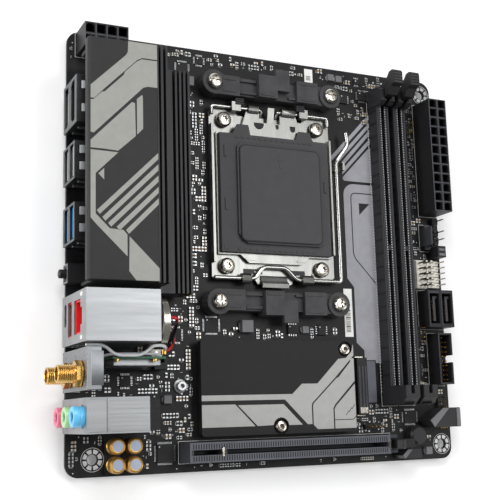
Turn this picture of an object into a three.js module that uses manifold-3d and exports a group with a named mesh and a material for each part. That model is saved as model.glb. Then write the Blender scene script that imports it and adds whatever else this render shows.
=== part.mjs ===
// Small-form desktop motherboard, 170 x 170 mm, lying flat with its components up.
// Frame: +Z out of the component side, +X from the rear-port edge to the power-connector edge,
// +Y from the expansion-slot edge to the edge next to the processor. Millimetres.
// All sizes below are written from the centre of the board with Z = 0 on the board's underside;
// the whole assembly is then moved so that its origin is the middle of its box, at the bottom.
import * as THREE from 'three';
import { mergeVertices } from 'three/addons/utils/BufferGeometryUtils.js';
import Module from 'manifold-3d';

const wasm = await Module();
wasm.setup();

// ---------------------------------------------------------------- driving dimensions

const BOARD_SIDE = 170;
const BOARD_HALF = BOARD_SIDE / 2;
const BOARD_CORNER_R = 5;
const BOARD_T = 1.6;
const SEAT = BOARD_T + 0.02;            // height at which soldered parts stand on the board
const FIT = 0.3;                        // gap between pieces that touch
const MOUNT_HOLE_R = 2.0;
const MOUNT_HOLES = [[-74.93, -78.74], [-52.07, 78.74], [80.0, 78.74], [80.0, -78.74]];

const REAR_FACE_X = -86.2;              // mouth plane of the rear ports, just outside the board

const CPU_X = 0.7;                      // centre of the processor socket
const CPU_Y = 24.8;
const COOLER_HALF_X = 27;               // cooler screws stand on a 54 x 90 rectangle
const COOLER_HALF_Y = 45;
const COOLER_X = CPU_X + 0.5;
const BRACKET_PAD_R = 5.2;
const BRACKET_PAD_Z = 8.0;
const BACKPLATE_Z = -2.4;

const SOCKET_SCREW_DX = 21.6;
const SOCKET_SCREW_DY = 30.3;
const FRAME_Z = 2.4;                    // fixed steel frame, underside
const FRAME_T = 1.2;
const PLATE_Z = 4.2;                    // moving load plate, underside
const PLATE_T = 1.2;
const CAP_Z = PLATE_Z + PLATE_T + FIT;  // dust cap, underside of its rim
const LEVER_AXIS_Y = -10.4;
const LEVER_AXIS_Z = 5.4;
const LEVER_R = 0.9;
const PLATE_HINGE_Y = 60.6;
const PLATE_HINGE_Z = 5.2;

const SHROUD = { x0: -84.6, x1: -58.4, y0: -16.8, y1: 72.0, top: 30.6, wall: 1.5 };
const LAN = { y0: -38.1, y1: -20.0, top: 34.4, back: -59.5 };
const AUDIO = { y0: -69.1, y1: -57.0, top: 34.2, jackY: -63.3, jackZ: [7.2, 18.1, 28.9], jackR: 3.6 };
const ANTENNA = { y: -48.8, z: [12, 27], r: 3.1, tip: -94.6 };
const BRACKET = { y0: -54.6, y1: -40.0, top: 34.5, t: 1.0, flange: 5.2 };

const MEMORY_X = [54.5, 63.3];
const MEMORY_W = 6.8;
const MEMORY_PIVOT = { y: 73.6, z: 4.6 };   // axis of the memory latches

const ATX = { x0: 75.6, x1: 84.8, y0: 21.7, y1: 73.0, top: 13.6, well: 3.3 };
const EPS = { x0: -81.3, x1: -64.1, y0: 75.2, y1: 84.6, top: 14.2, well: 3.4 };
const PCIE = { x0: -41.0, x1: 47.0, y: -77.6, w: 7.4, top: 12.4 };
const PCIE_PIVOT = { x: 50.0, z: 5.2 };

const M2_PLATE = { x0: -34.0, x1: 34.3, y0: -72.0, y1: -35.3, z0: 4.4, top: 7.4 };
const M2_SCREWS = [[30.2, -38.6], [-0.3, -69.0]];

// ---------------------------------------------------------------- shape helpers

// Turn a closed three.js geometry into a solid, with its shared corners merged.
function solidOf(geometry) {
  const bare = geometry.clone();
  bare.deleteAttribute('normal');
  bare.deleteAttribute('uv');
  const merged = mergeVertices(bare, 1e-4);
  const vertProperties = new Float32Array(merged.attributes.position.array);
  const triVerts = new Uint32Array(merged.index.array);
  return new wasm.Manifold(new wasm.Mesh({ numProp: 3, vertProperties, triVerts }));
}

function geometryOf(solid) {
  const mesh = solid.getMesh();
  const geometry = new THREE.BufferGeometry();
  geometry.setAttribute('position', new THREE.BufferAttribute(new Float32Array(mesh.vertProperties), 3));
  geometry.setIndex(new THREE.BufferAttribute(new Uint32Array(mesh.triVerts), 1));
  geometry.computeVertexNormals();
  return geometry;
}

const join = (...solids) => solids.reduce((all, next) => all.add(next));
const cut = (body, ...tools) => tools.reduce((all, next) => all.subtract(next), body);

// Box between two opposite corners.
function box(x0, x1, y0, y1, z0, z1) {
  const geometry = new THREE.BoxGeometry(x1 - x0, y1 - y0, z1 - z0);
  geometry.translate((x0 + x1) / 2, (y0 + y1) / 2, (z0 + z1) / 2);
  return solidOf(geometry);
}

// Cylinder along 'x', 'y' or 'z', from a to b on that axis; c and d are the other two places.
function rod(axis, a, b, c, d, radius, sides = 24, endRadius = radius) {
  const geometry = new THREE.CylinderGeometry(endRadius, radius, b - a, sides);
  if (axis === 'x') {
    geometry.rotateZ(-Math.PI / 2);
    geometry.translate((a + b) / 2, c, d);
  } else if (axis === 'y') {
    geometry.translate(c, (a + b) / 2, d);
  } else {
    geometry.rotateX(Math.PI / 2);
    geometry.translate(c, d, (a + b) / 2);
  }
  return solidOf(geometry);
}

function outline(points) {
  return new THREE.Shape(points.map(([x, y]) => new THREE.Vector2(x, y)));
}

function roundedOutline(x0, x1, y0, y1, r) {
  const shape = new THREE.Shape();
  shape.moveTo(x0 + r, y0);
  shape.lineTo(x1 - r, y0);
  shape.absarc(x1 - r, y0 + r, r, -Math.PI / 2, 0);
  shape.lineTo(x1, y1 - r);
  shape.absarc(x1 - r, y1 - r, r, 0, Math.PI / 2);
  shape.lineTo(x0 + r, y1);
  shape.absarc(x0 + r, y1 - r, r, Math.PI / 2, Math.PI);
  shape.lineTo(x0, y0 + r);
  shape.absarc(x0 + r, y0 + r, r, Math.PI, 1.5 * Math.PI);
  return shape;
}

// Extrude an X-Y outline from z0 to z1.
function slab(shape, z0, z1, curveSegments = 6) {
  const depth = z1 - z0;
  const geometry = new THREE.ExtrudeGeometry(shape, { depth, bevelEnabled: false, curveSegments });
  geometry.translate(0, 0, z0);
  return solidOf(geometry);
}

// Extrude a Y-Z outline from x0 to x1.
function barAlongX(points, x0, x1) {
  const geometry = new THREE.ExtrudeGeometry(outline(points), { depth: x1 - x0, bevelEnabled: false });
  geometry.applyMatrix4(new THREE.Matrix4().set(0, 0, 1, x0, 1, 0, 0, 0, 0, 1, 0, 0, 0, 0, 0, 1));
  return solidOf(geometry);
}

// Extrude an X-Z outline from y0 to y1.
function barAlongY(points, y0, y1) {
  const geometry = new THREE.ExtrudeGeometry(outline(points), { depth: y1 - y0, bevelEnabled: false });
  geometry.applyMatrix4(new THREE.Matrix4().set(1, 0, 0, 0, 0, 0, -1, y1, 0, 1, 0, 0, 0, 0, 0, 1));
  return solidOf(geometry);
}

// A round wire through corner points, each inner corner rounded by a short curve.
function wire(points, radius, bend, steps, sides = 8) {
  const corners = points.map((p) => new THREE.Vector3(...p));
  const path = new THREE.CurvePath();
  let from = corners[0];
  for (let i = 1; i < corners.length - 1; i += 1) {
    const before = corners[i].clone().sub(corners[i - 1]);
    const after = corners[i + 1].clone().sub(corners[i]);
    const reach = Math.min(bend, before.length() * 0.45, after.length() * 0.45);
    const entry = corners[i].clone().addScaledVector(before.normalize(), -reach);
    const leave = corners[i].clone().addScaledVector(after.normalize(), reach);
    path.add(new THREE.LineCurve3(from, entry));
    path.add(new THREE.QuadraticBezierCurve3(entry, corners[i], leave));
    from = leave;
  }
  path.add(new THREE.LineCurve3(from, corners[corners.length - 1]));
  return tubeAlong(path, radius, steps, sides);
}

function tubeAlong(path, radius, steps, sides = 8) {
  const section = new THREE.Shape();
  for (let i = 0; i < sides; i += 1) {
    const angle = (2 * Math.PI * i) / sides;
    const x = radius * Math.cos(angle);
    const y = radius * Math.sin(angle);
    if (i === 0) section.moveTo(x, y);
    else section.lineTo(x, y);
  }
  const geometry = new THREE.ExtrudeGeometry(section, { steps, bevelEnabled: false, extrudePath: path });
  return solidOf(geometry);
}

// ---------------------------------------------------------------- the assembly and its finishes

const board = new THREE.Group();
const assembly = new THREE.Group();
assembly.add(board);

function finish(color, roughness, metalness) {
  return { color, roughness, metalness };
}

const FINISH = {
  mask: finish(0x141416, 0.55, 0.0),
  blackPlastic: finish(0x17181a, 0.5, 0.0),
  charcoal: finish(0x3a3b3c, 0.55, 0.3),
  blackMetal: finish(0x202225, 0.45, 0.7),
  steel: finish(0xb9bcbe, 0.3, 0.9),
  darkSteel: finish(0x2c2d30, 0.5, 0.7),
  nickel: finish(0xcfd0cf, 0.25, 0.95),
  shell: finish(0xc4c6c8, 0.35, 0.9),
  bracketGrey: finish(0x9fa3a6, 0.45, 0.8),
  gold: finish(0xd6a23c, 0.3, 0.95),
  pink: finish(0xd8667f, 0.4, 0.0),
  green: finish(0x9ccf94, 0.4, 0.0),
  blue: finish(0x5bb0dd, 0.4, 0.0),
  redCable: finish(0xc3202c, 0.4, 0.0),
  whiteCable: finish(0xdedfe0, 0.35, 0.0),
  greenBoard: finish(0x1f5a3c, 0.5, 0.0),
  header: finish(0xe9e7e0, 0.5, 0.0),
};

function add(name, solid, look) {
  const material = new THREE.MeshStandardMaterial({ ...look, name });
  const mesh = new THREE.Mesh(geometryOf(solid), material);
  mesh.name = name;
  board.add(mesh);
  return mesh;
}

const coolerScrews = [-1, 1].flatMap((sy) => [-1, 1].map(
  (sx) => [COOLER_X + sx * COOLER_HALF_X, CPU_Y + sy * COOLER_HALF_Y],
));
const socketScrews = [-1, 1].flatMap((sy) => [-1, 1].map(
  (sx) => [CPU_X + sx * SOCKET_SCREW_DX, CPU_Y + sy * SOCKET_SCREW_DY],
));

// ---------------------------------------------------------------- board and backplate

function makeBoard() {
  const plate = slab(
    roundedOutline(-BOARD_HALF, BOARD_HALF, -BOARD_HALF, BOARD_HALF, BOARD_CORNER_R), 0, BOARD_T,
  );
  const holes = MOUNT_HOLES.map(([x, y]) => rod('z', -1, BOARD_T + 1, x, y, MOUNT_HOLE_R, 20));
  const coolerHoles = coolerScrews.map(([x, y]) => rod('z', -1, BOARD_T + 1, x, y, 2.3, 12));
  const frameHoles = socketScrews.map(([x, y]) => rod('z', -1, BOARD_T + 1, x, y, 1.9, 12));
  return cut(plate, ...holes, ...coolerHoles, ...frameHoles);
}

// Steel plate under the board that the cooler and the socket frame are screwed into.
function makeBackplate() {
  const hx = COOLER_HALF_X + 5;
  const hy = COOLER_HALF_Y + 5;
  const waist = 4.5;
  const shape = outline([
    [-hx, -hy + 3], [-hx + 3, -hy], [-hx + 9, -hy], [-hx + 13, -hy + waist], [hx - 13, -hy + waist],
    [hx - 9, -hy], [hx - 3, -hy], [hx, -hy + 3], [hx, -hy + 10], [hx - waist, -hy + 14],
    [hx - waist, hy - 14], [hx, hy - 10], [hx, hy - 3], [hx - 3, hy], [hx - 9, hy],
    [hx - 13, hy - waist], [-hx + 13, hy - waist], [-hx + 9, hy], [-hx + 3, hy], [-hx, hy - 3],
    [-hx, hy - 10], [-hx + waist, hy - 14], [-hx + waist, -hy + 14], [-hx, -hy + 10],
  ]);
  const plate = slab(shape, BACKPLATE_Z, -0.02).translate([COOLER_X, CPU_Y, 0]);
  const threads = coolerScrews.map(([x, y]) => rod('z', -4, 1, x, y, 2.05, 12));
  const frameThreads = socketScrews.map(([x, y]) => rod('z', -4, 1, x, y, 1.65, 12));
  const windows = [-14, 14].map((dy) => slab(
    roundedOutline(COOLER_X - 8, COOLER_X + 8, CPU_Y + dy - 5, CPU_Y + dy + 5, 2), -4, 1, 3,
  ));
  return cut(plate, ...threads, ...frameThreads, ...windows);
}

// ---------------------------------------------------------------- voltage regulator cooling

// Cover over the rear ports: a tray with its open side down.
function makeShroud() {
  const s = SHROUD;
  const outer = box(s.x0, s.x1, s.y0, s.y1, 12, s.top);
  const hollow = box(s.x0 + s.wall, s.x1 - s.wall, s.y0 + s.wall, s.y1 - s.wall, 0, s.top - s.wall);
  const overPorts = box(s.x0 - 1, s.x0 + s.wall + 1, s.y0 - 1, s.y1 + 1, 0, 26.4);
  const edge = 0.9;
  const rearEdge = barAlongY(
    [[s.x0 - 1, s.top + 1], [s.x0 - 1, s.top - edge], [s.x0, s.top - edge], [s.x0 + edge, s.top],
      [s.x0 + edge, s.top + 1]], s.y0 - 1, s.y1 + 1,
  );
  return cut(outer, hollow, overPorts, rearEdge);
}

// Extruded heatsink: a tall finned rib beside the cover and a lower finned block by the socket.
function makeRegulatorHeatsink() {
  const tall = { x0: -58.1, x1: -53.4, z: 28.2, y0: -16.8, y1: 73.4 };
  const low = { x0: -53.4, x1: -40.4, z: 17.4, y0: -19.0, y1: 68.6 };
  const base = 6.4;
  const floor = tall.z - 4;
  const tallProfile = [
    [tall.x0, base], [tall.x1, base], [tall.x1, tall.z], [tall.x1 - 0.9, tall.z],
    [tall.x1 - 0.9, floor], [tall.x1 - 1.8, floor], [tall.x1 - 1.8, tall.z], [tall.x1 - 2.9, tall.z],
    [tall.x1 - 2.9, floor], [tall.x0 + 1.1, floor], [tall.x0 + 1.1, tall.z], [tall.x0, tall.z],
  ];
  const lowProfile = [[low.x0, base], [low.x1, base]];
  const fins = 4;
  const pitch = 1.75;
  for (let i = 0; i < fins; i += 1) {
    const x = low.x1 - i * pitch;
    lowProfile.push([x, low.z], [x - 1.0, low.z]);
    lowProfile.push([x - 1.0, low.z - 5], [x - pitch, low.z - 5]);
  }
  lowProfile.push([low.x1 - fins * pitch, low.z - 0.6], [low.x0, low.z - 0.6]);
  const feet = [-12, 60].map((y) => box(-56.5, -52.5, y, y + 5, SEAT, base + 1));
  return join(
    barAlongY(tallProfile, tall.y0, tall.y1), barAlongY(lowProfile, low.y0, low.y1), ...feet,
  );
}

// ---------------------------------------------------------------- rear ports

// A connector shell with its mouth on the rear face.
// Each cavity is a Y-Z outline; each tongue is [y0, y1, z0, z1].
function rearPort({ y0, y1, top, back, depth, cavities, tongues }) {
  const shell = box(REAR_FACE_X, back, y0, y1, SEAT, top);
  const mouths = cavities.map((points) => barAlongX(points, REAR_FACE_X - 1, REAR_FACE_X + depth));
  const tip = REAR_FACE_X + 1;
  const root = REAR_FACE_X + depth + 0.5;
  const blades = tongues.map(([a, b, c, d]) => box(tip, root, a, b, c, d));
  return join(cut(shell, ...mouths), ...blades);
}

const rect = (y0, y1, z0, z1) => [[y0, z0], [y1, z0], [y1, z1], [y0, z1]];

// Two stacked type-A receptacles.
function usbPair(yMid) {
  const half = 6.25;
  const rows = [3.4, 11.2];
  return rearPort({
    y0: yMid - 7.2,
    y1: yMid + 7.2,
    top: 17.7,
    back: -69,
    depth: 11,
    cavities: rows.map((z) => rect(yMid - half, yMid + half, z, z + 5.1)),
    tongues: rows.map((z) => [yMid - 5.2, yMid + 5.2, z + 2.9, z + 4.7]),
  });
}

function displayStack() {
  const y0 = 44.2;
  const y1 = 59.6;
  return rearPort({
    y0: 42.5,
    y1: 60.8,
    top: 20.4,
    back: -67,
    depth: 10,
    cavities: [
      [[y0, 3.4], [y1, 3.4], [y1, 8.6], [y0 + 1.6, 8.6], [y0, 7.0]],
      [[y0 + 1.6, 12.4], [y1 - 1.6, 12.4], [y1, 14.2], [y1, 17.6], [y0, 17.6], [y0, 14.2]],
    ],
    tongues: [[y0 + 1.8, y1 - 1.8, 5.4, 6.6], [y0 + 2.2, y1 - 2.2, 14.9, 16.1]],
  });
}

// Network jack on top of a type-A and a type-C receptacle.
function lanStack() {
  const jack = [
    [-35.0, 18.4], [-23.0, 18.4], [-23.0, 26.8], [-26.0, 26.8], [-26.0, 28.8], [-32.0, 28.8],
    [-32.0, 26.8], [-35.0, 26.8],
  ];
  const shell = rearPort({
    y0: LAN.y0,
    y1: LAN.y1,
    top: LAN.top,
    back: LAN.back,
    depth: 13,
    cavities: [jack, rect(-35.2, -22.8, 9.8, 15.0)],
    tongues: [[-34.2, -23.8, 12.7, 14.4]],
  });
  const slotTool = roundedOutline(-31.2, -22.8, 4.6, 7.6, 1.45);
  const slotPoints = slotTool.getPoints(4).map((p) => [p.x, p.y]);
  slotPoints.pop();
  const slot = barAlongX(slotPoints, REAR_FACE_X - 1, REAR_FACE_X + 6);
  return join(cut(shell, slot), box(REAR_FACE_X + 1, REAR_FACE_X + 6.5, -30.0, -24.0, 5.8, 6.4));
}

const BUTTON = { y: -11.3, z: 4.9, r: 1.7, tip: -88.6 };

function buttonHousing() {
  const body = box(-86.0, -79.4, -15.0, -7.6, SEAT, 8.2);
  const bore = rod('x', -87, -80.6, BUTTON.y, BUTTON.z, BUTTON.r + 0.3, 20);
  return cut(body, bore);
}

function flashButton() {
  const stem = rod('x', BUTTON.tip + 0.4, -82.6, BUTTON.y, BUTTON.z, BUTTON.r, 20);
  const face = rod('x', BUTTON.tip, BUTTON.tip + 0.4, BUTTON.y, BUTTON.z, BUTTON.r - 0.35, 20, BUTTON.r);
  return join(stem, face);
}

// Folded steel bracket that carries both antenna connectors.
function antennaBracket() {
  const b = BRACKET;
  const front = box(-86, -86 + b.t, b.y0, b.y1, SEAT, b.top);
  const roof = box(-86, -86 + b.flange, b.y0, b.y1, b.top - b.t, b.top);
  const foot = box(-86, -79.6, b.y0, b.y1, SEAT, SEAT + b.t);
  const holes = ANTENNA.z.map((z) => rod('x', -88, -84, ANTENNA.y, z, ANTENNA.r + 0.3, 20));
  return cut(join(front, roof, foot), ...holes);
}

// Threaded coaxial connector with its hexagon nut outside and its collar inside the bracket.
function antennaConnector(z) {
  const { y, r, tip } = ANTENNA;
  const gap = 0.25;
  const barrel = rod('x', tip, -80.5, y, z, r, 20);
  const nut = rod('x', -88.5, -86 - gap, y, z, 4.6, 6);
  const collar = rod('x', -85 + gap, -82.6, y, z, 4.2, 16);
  const bore = rod('x', tip - 1, tip + 5.5, y, z, r - 0.75, 16);
  const pin = rod('x', tip + 1.2, tip + 6, y, z, 0.9, 10);
  return join(cut(join(barrel, nut, collar), bore), pin);
}

function wifiSocket() {
  const base = box(-76.5, -53.2, -46.6, -41.2, SEAT, 6.2);
  const slot = box(-75.2, -54.4, -44.0, -42.6, 3.2, 8);
  const post = box(-53.4, -48.2, -46.6, -42.2, SEAT, 9.6);
  const slotInPost = box(-54, -49.6, -44.0, -42.6, 3.2, 11);
  return cut(join(base, post), slot, slotInPost);
}

// Radio card standing in its socket, with a shield can on one side.
function wifiModule() {
  const card = box(-74.6, -55.0, -43.7, -42.9, 3.5, 26.5);
  const can = box(-73.4, -56.2, -45.7, -43.7, 8.0, 23.5);
  return join(card, can);
}

function audioBlock() {
  const tall = box(-84.6, -64.2, AUDIO.y0 + 0.5, AUDIO.y1 - 0.5, SEAT, AUDIO.top - 1.2);
  const low = box(-64.5, -55.4, AUDIO.y0 + 0.5, AUDIO.y1 - 0.5, SEAT, 20.5);
  const bores = AUDIO.jackZ.map((z) => rod('x', -86, -77.5, AUDIO.jackY, z, AUDIO.jackR + FIT, 24));
  return cut(join(tall, low), ...bores);
}

// Pressed metal cover over the front and top of the audio jacks.
function audioShield() {
  const front = box(-86.0, -84.9, AUDIO.y0, AUDIO.y1, SEAT, AUDIO.top);
  const roof = box(-86.0, -63.9, AUDIO.y0, AUDIO.y1, AUDIO.top - 1.0, AUDIO.top);
  const bores = AUDIO.jackZ.map((z) => rod('x', -87, -84, AUDIO.jackY, z, AUDIO.jackR + FIT, 24));
  return cut(join(front, roof), ...bores);
}

function audioJack(z) {
  const body = rod('x', -89.3, -78.0, AUDIO.jackY, z, AUDIO.jackR, 24);
  const lip = rod('x', -89.9, -89.3, AUDIO.jackY, z, AUDIO.jackR - 0.5, 24, AUDIO.jackR);
  const bore = rod('x', -91, -79.0, AUDIO.jackY, z, 1.8, 18);
  return cut(join(body, lip), bore);
}

function capacitor(x, y) {
  const r = 3.0;
  const can = rod('z', SEAT + 0.8, 7.6, x, y, r, 24);
  const foot = rod('z', SEAT, SEAT + 0.8, x, y, r + 0.35, 8);
  const rim = rod('z', 7.6, 8.0, x, y, r, 24, r - 0.5);
  return join(foot, can, rim);
}

// ---------------------------------------------------------------- backup battery

const CELL = { x0: -54.3, x1: -51.1, y: -29.4, z: 12.2, r: 10 };

function coinCell() {
  const body = rod('x', CELL.x0, CELL.x1, CELL.y, CELL.z, CELL.r, 32);
  const bandFoot = box(CELL.x0 - 0.2, CELL.x1 + 0.2, CELL.y - 3, CELL.y + 3, SEAT, 5);
  return join(body, bandFoot);
}

function batteryLead() {
  return wire([
    [-50.75, -27.6, 15.0], [-46.5, -27.8, 15.2], [-43.9, -28.8, 9.0], [-43.5, -31.2, 4.4],
    [-43.5, -36.6, 3.6], [-45.6, -39.2, 3.2], [-48.8, -39.6, 3.2],
  ], 0.65, 2.6, 24, 6);
}

function antennaLead() {
  return wire([
    [-84.4, -38.9, 27.4], [-79.6, -38.9, 27.4], [-77.4, -39.6, 27.4], [-74.6, -42.0, 27.6],
    [-72.4, -42.6, 27.7], [-65.4, -42.6, 27.7], [-62.4, -41.2, 27.4], [-60.2, -39.2, 27.0],
    [-57.0, -39.0, 26.6], [-54.6, -39.4, 25.2], [-54.2, -40.4, 22.6],
  ], 0.6, 1.4, 34, 6);
}

// ---------------------------------------------------------------- processor socket

function socketHousing() {
  const x0 = CPU_X - 21.2;
  const x1 = CPU_X + 21.2;
  const y0 = CPU_Y - 22;
  const y1 = CPU_Y + 22;
  const body = slab(roundedOutline(x0, x1, y0, y1, 1.5), SEAT, 4.0, 3);
  const field = box(x0 + 2, x1 - 2, y0 + 2, y1 - 2, 2.9, 6);
  const island = box(CPU_X - 5, CPU_X + 5, CPU_Y - 5, CPU_Y + 5, 2.5, 3.3);
  return join(cut(body, field), island);
}

// Fixed steel frame: a ring with screw ears, lever bearings, a lever rest and upturned rails.
function socketFrame() {
  const cx = CPU_X;
  const cy = CPU_Y;
  const ring = outline([
    [cx - 27.6, cy - 35.0], [cx - 9.0, cy - 35.0], [cx - 7.6, cy - 37.0], [cx + 7.6, cy - 37.0],
    [cx + 9.0, cy - 35.0], [cx + 26.6, cy - 35.0], [cx + 28.2, cy - 33.2], [cx + 28.2, cy + 33.6],
    [cx + 26.8, cy + 35.0], [cx + 16, cy + 35.0], [cx + 15, cy + 33.0], [cx - 15, cy + 33.0],
    [cx - 16, cy + 35.0], [cx - 26.2, cy + 35.0], [cx - 27.6, cy + 33.6],
  ]);
  const window = new THREE.Path([
    [cx - 21.6, cy - 22.4], [cx + 21.6, cy - 22.4], [cx + 21.6, cy + 22.4], [cx - 21.6, cy + 22.4],
  ].map(([x, y]) => new THREE.Vector2(x, y)));
  ring.holes.push(window);
  const plate = slab(ring, FRAME_Z, FRAME_Z + FRAME_T);
  const leftRail = box(cx - 27.6, cx - 26.6, cy - 29, cy + 28, FRAME_Z, 6.2);
  const rightRail = box(cx + 27.4, cx + 28.2, cy - 24, cy + 26, FRAME_Z, 5.4);
  const bearings = [[-15.8, -11.8], [11.4, 16.6]].map(([a, b]) => join(
    rod('x', cx + a, cx + b, LEVER_AXIS_Y, LEVER_AXIS_Z, 2.1, 12),
    box(cx + a, cx + b, LEVER_AXIS_Y - 1.6, LEVER_AXIS_Y + 1.6, FRAME_Z, LEVER_AXIS_Z),
  ));
  const bearingBores = rod('x', cx - 30, cx + 40, LEVER_AXIS_Y, LEVER_AXIS_Z, LEVER_R + 0.25, 10);
  const tongue = barAlongX([
    [cy - 34.2, FRAME_Z], [cy - 33.6, FRAME_Z], [cy - 33.6, FRAME_Z + 1.6], [cy - 37.0, FRAME_Z + 3.4],
    [cy - 38.6, FRAME_Z + 3.2], [cy - 38.6, FRAME_Z + 2.2], [cy - 36.8, FRAME_Z + 2.2],
    [cy - 35.4, FRAME_Z],
  ], cx - 6.4, cx + 5.6);
  const leverRest = join(
    box(cx + 27.6, cx + 34.0, cy + 13.2, cy + 16.6, FRAME_Z, FRAME_Z + 1.2),
    box(cx + 32.9, cx + 34.0, cy + 13.2, cy + 16.6, FRAME_Z, 6.8),
  );
  const ears = socketScrews.map(([x, y]) => rod('z', SEAT, FRAME_Z + FRAME_T, x, y, 3.4, 14));
  const hinges = [[-18.6, -14.6], [12.6, 16.6]].map(([a, b]) => box(
    cx + a, cx + b, cy + 34.0, PLATE_HINGE_Y + 2.0, FRAME_Z, PLATE_HINGE_Z + 2.0,
  ));
  const hingeBore = rod('x', cx - 40, cx + 40, PLATE_HINGE_Y, PLATE_HINGE_Z, 1.15, 10);
  const screwBores = socketScrews.map(([x, y]) => rod('z', -2, 10, x, y, 1.85, 12));
  const body = join(plate, leftRail, rightRail, tongue, leverRest, ...ears, ...bearings, ...hinges);
  return cut(body, bearingBores, hingeBore, ...screwBores);
}

// Moving plate that presses on the processor; it turns up about the edge away from the lever.
function loadPlate() {
  const cx = CPU_X;
  const cy = CPU_Y;
  const neck = 13.6;
  const shape = outline([
    [cx - 25.4, cy - 25.6], [cx - 15.6, cy - 25.6], [cx - 12.0, cy - 28.8], [cx + 12.0, cy - 28.8],
    [cx + 15.6, cy - 25.6], [cx + 26.2, cy - 25.6], [cx + 26.2, cy + 24.8], [cx + 16.2, cy + 24.8],
    [cx + neck, cy + 28.0], [cx + neck - 2, PLATE_HINGE_Y - 1.2], [cx + 4.0, PLATE_HINGE_Y - 1.2],
    [cx + 4.0, cy + 30.6], [cx - 5.6, cy + 30.6], [cx - 5.6, PLATE_HINGE_Y - 1.2],
    [cx - neck + 2, PLATE_HINGE_Y - 1.2], [cx - neck, cy + 28.0], [cx - 16.2, cy + 24.8],
    [cx - 25.4, cy + 24.8],
  ]);
  const window = new THREE.Path([
    [cx - 17.6, cy - 20.4], [cx + 17.6, cy - 20.4], [cx + 19.0, cy - 19.0], [cx + 19.0, cy + 20.0],
    [cx - 19.0, cy + 20.0], [cx - 19.0, cy - 19.0],
  ].map(([x, y]) => new THREE.Vector2(x, y)));
  shape.holes.push(window);
  const plate = slab(shape, PLATE_Z, PLATE_Z + PLATE_T);
  const knuckles = [[-10.8, -6.2], [4.6, 10.8]].map(([a, b]) => rod(
    'x', cx + a, cx + b, PLATE_HINGE_Y, PLATE_HINGE_Z, 1.9, 12,
  ));
  const bore = rod('x', cx - 20, cx + 20, PLATE_HINGE_Y, PLATE_HINGE_Z, 1.1, 10);
  const pull = barAlongX([
    [cy + 30.4, PLATE_Z], [cy + 37.0, PLATE_Z + 1.5], [cy + 37.0, PLATE_Z + 2.5],
    [cy + 30.4, PLATE_Z + 1.2],
  ], cx - 2.0, cx + 1.0);
  return cut(join(plate, ...knuckles, pull), bore);
}

// Spring wires that the plate turns on, each bent down at its inner end.
function hingeWire(side) {
  const inner = side < 0 ? -4.4 : 2.8;
  const outer = side < 0 ? -27.0 : 27.0;
  const points = [
    [CPU_X + inner, PLATE_HINGE_Y - 2.2, PLATE_HINGE_Z - 1.6],
    [CPU_X + inner, PLATE_HINGE_Y, PLATE_HINGE_Z],
    [CPU_X + outer, PLATE_HINGE_Y, PLATE_HINGE_Z],
    [CPU_X + outer, PLATE_HINGE_Y - 3.6, PLATE_HINGE_Z - 0.1],
  ];
  return wire(points, 0.75, 1.3, 16);
}

// Dust cap clipped to the load plate.
function socketCap() {
  const cx = CPU_X;
  const cy = CPU_Y;
  const rim = outline([
    [cx - 24.6, cy - 25.0], [cx + 25.4, cy - 25.0], [cx + 25.4, cy + 24.2], [cx + 18.6, cy + 24.2],
    [cx + 17.2, cy + 28.0], [cx + 12.0, cy + 28.0], [cx + 10.6, cy + 24.2], [cx - 10.6, cy + 24.2],
    [cx - 11.4, cy + 28.4], [cx - 16.4, cy + 28.4], [cx - 18.6, cy + 24.2], [cx - 24.6, cy + 24.2],
  ]);
  const centre = outline([
    [cx - 17.4, cy - 17.6], [cx - 13.6, cy - 21.4], [cx + 19.6, cy - 21.4], [cx + 21.2, cy - 19.8],
    [cx + 21.2, cy + 16.4], [cx + 17.2, cy + 20.2], [cx - 15.8, cy + 20.2], [cx - 17.4, cy + 18.6],
  ]);
  const lip = outline([
    [cx - 17.0, cy - 19.8], [cx + 17.2, cy - 19.8], [cx + 18.4, cy - 18.6], [cx + 18.4, cy + 19.4],
    [cx - 18.4, cy + 19.4], [cx - 18.4, cy - 18.4],
  ]);
  return join(
    slab(rim, CAP_Z, CAP_Z + 1.5),
    slab(centre, CAP_Z + 1, CAP_Z + 2.6),
    slab(lip, PLATE_Z + 0.3, CAP_Z + 1),
  );
}

// Bent wire: a cranked shaft in the frame's bearings and an arm with a handle at its end.
function loadLever() {
  const z = LEVER_AXIS_Z;
  const y = LEVER_AXIS_Y;
  return wire([
    [CPU_X - 27.2, y, z], [CPU_X - 9.8, y, z], [CPU_X - 6.0, y + 4.9, z], [CPU_X + 4.4, y + 4.9, z],
    [CPU_X + 9.4, y, z], [CPU_X + 30.4, y, z], [CPU_X + 30.4, y + 51.5, z],
    [CPU_X + 31.0, y + 53.0, z + 0.4], [CPU_X + 36.0, y + 59.6, z + 1.0],
    [CPU_X + 35.2, y + 65.0, z + 1.2],
  ], LEVER_R, 1.9, 56);
}

function torxScrew(x, y) {
  const top = FRAME_Z + FRAME_T + 0.05;
  const flange = rod('z', top, top + 1.0, x, y, 3.3, 16);
  const head = rod('z', top + 0.9, top + 2.9, x, y, 2.6, 16, 2.4);
  const recess = rod('z', top + 1.7, top + 4, x, y, 1.5, 6);
  const shank = rod('z', -1.6, top + 0.5, x, y, 1.4, 10);
  return cut(join(flange, head, shank), recess);
}

// ---------------------------------------------------------------- cooler brackets

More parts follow.
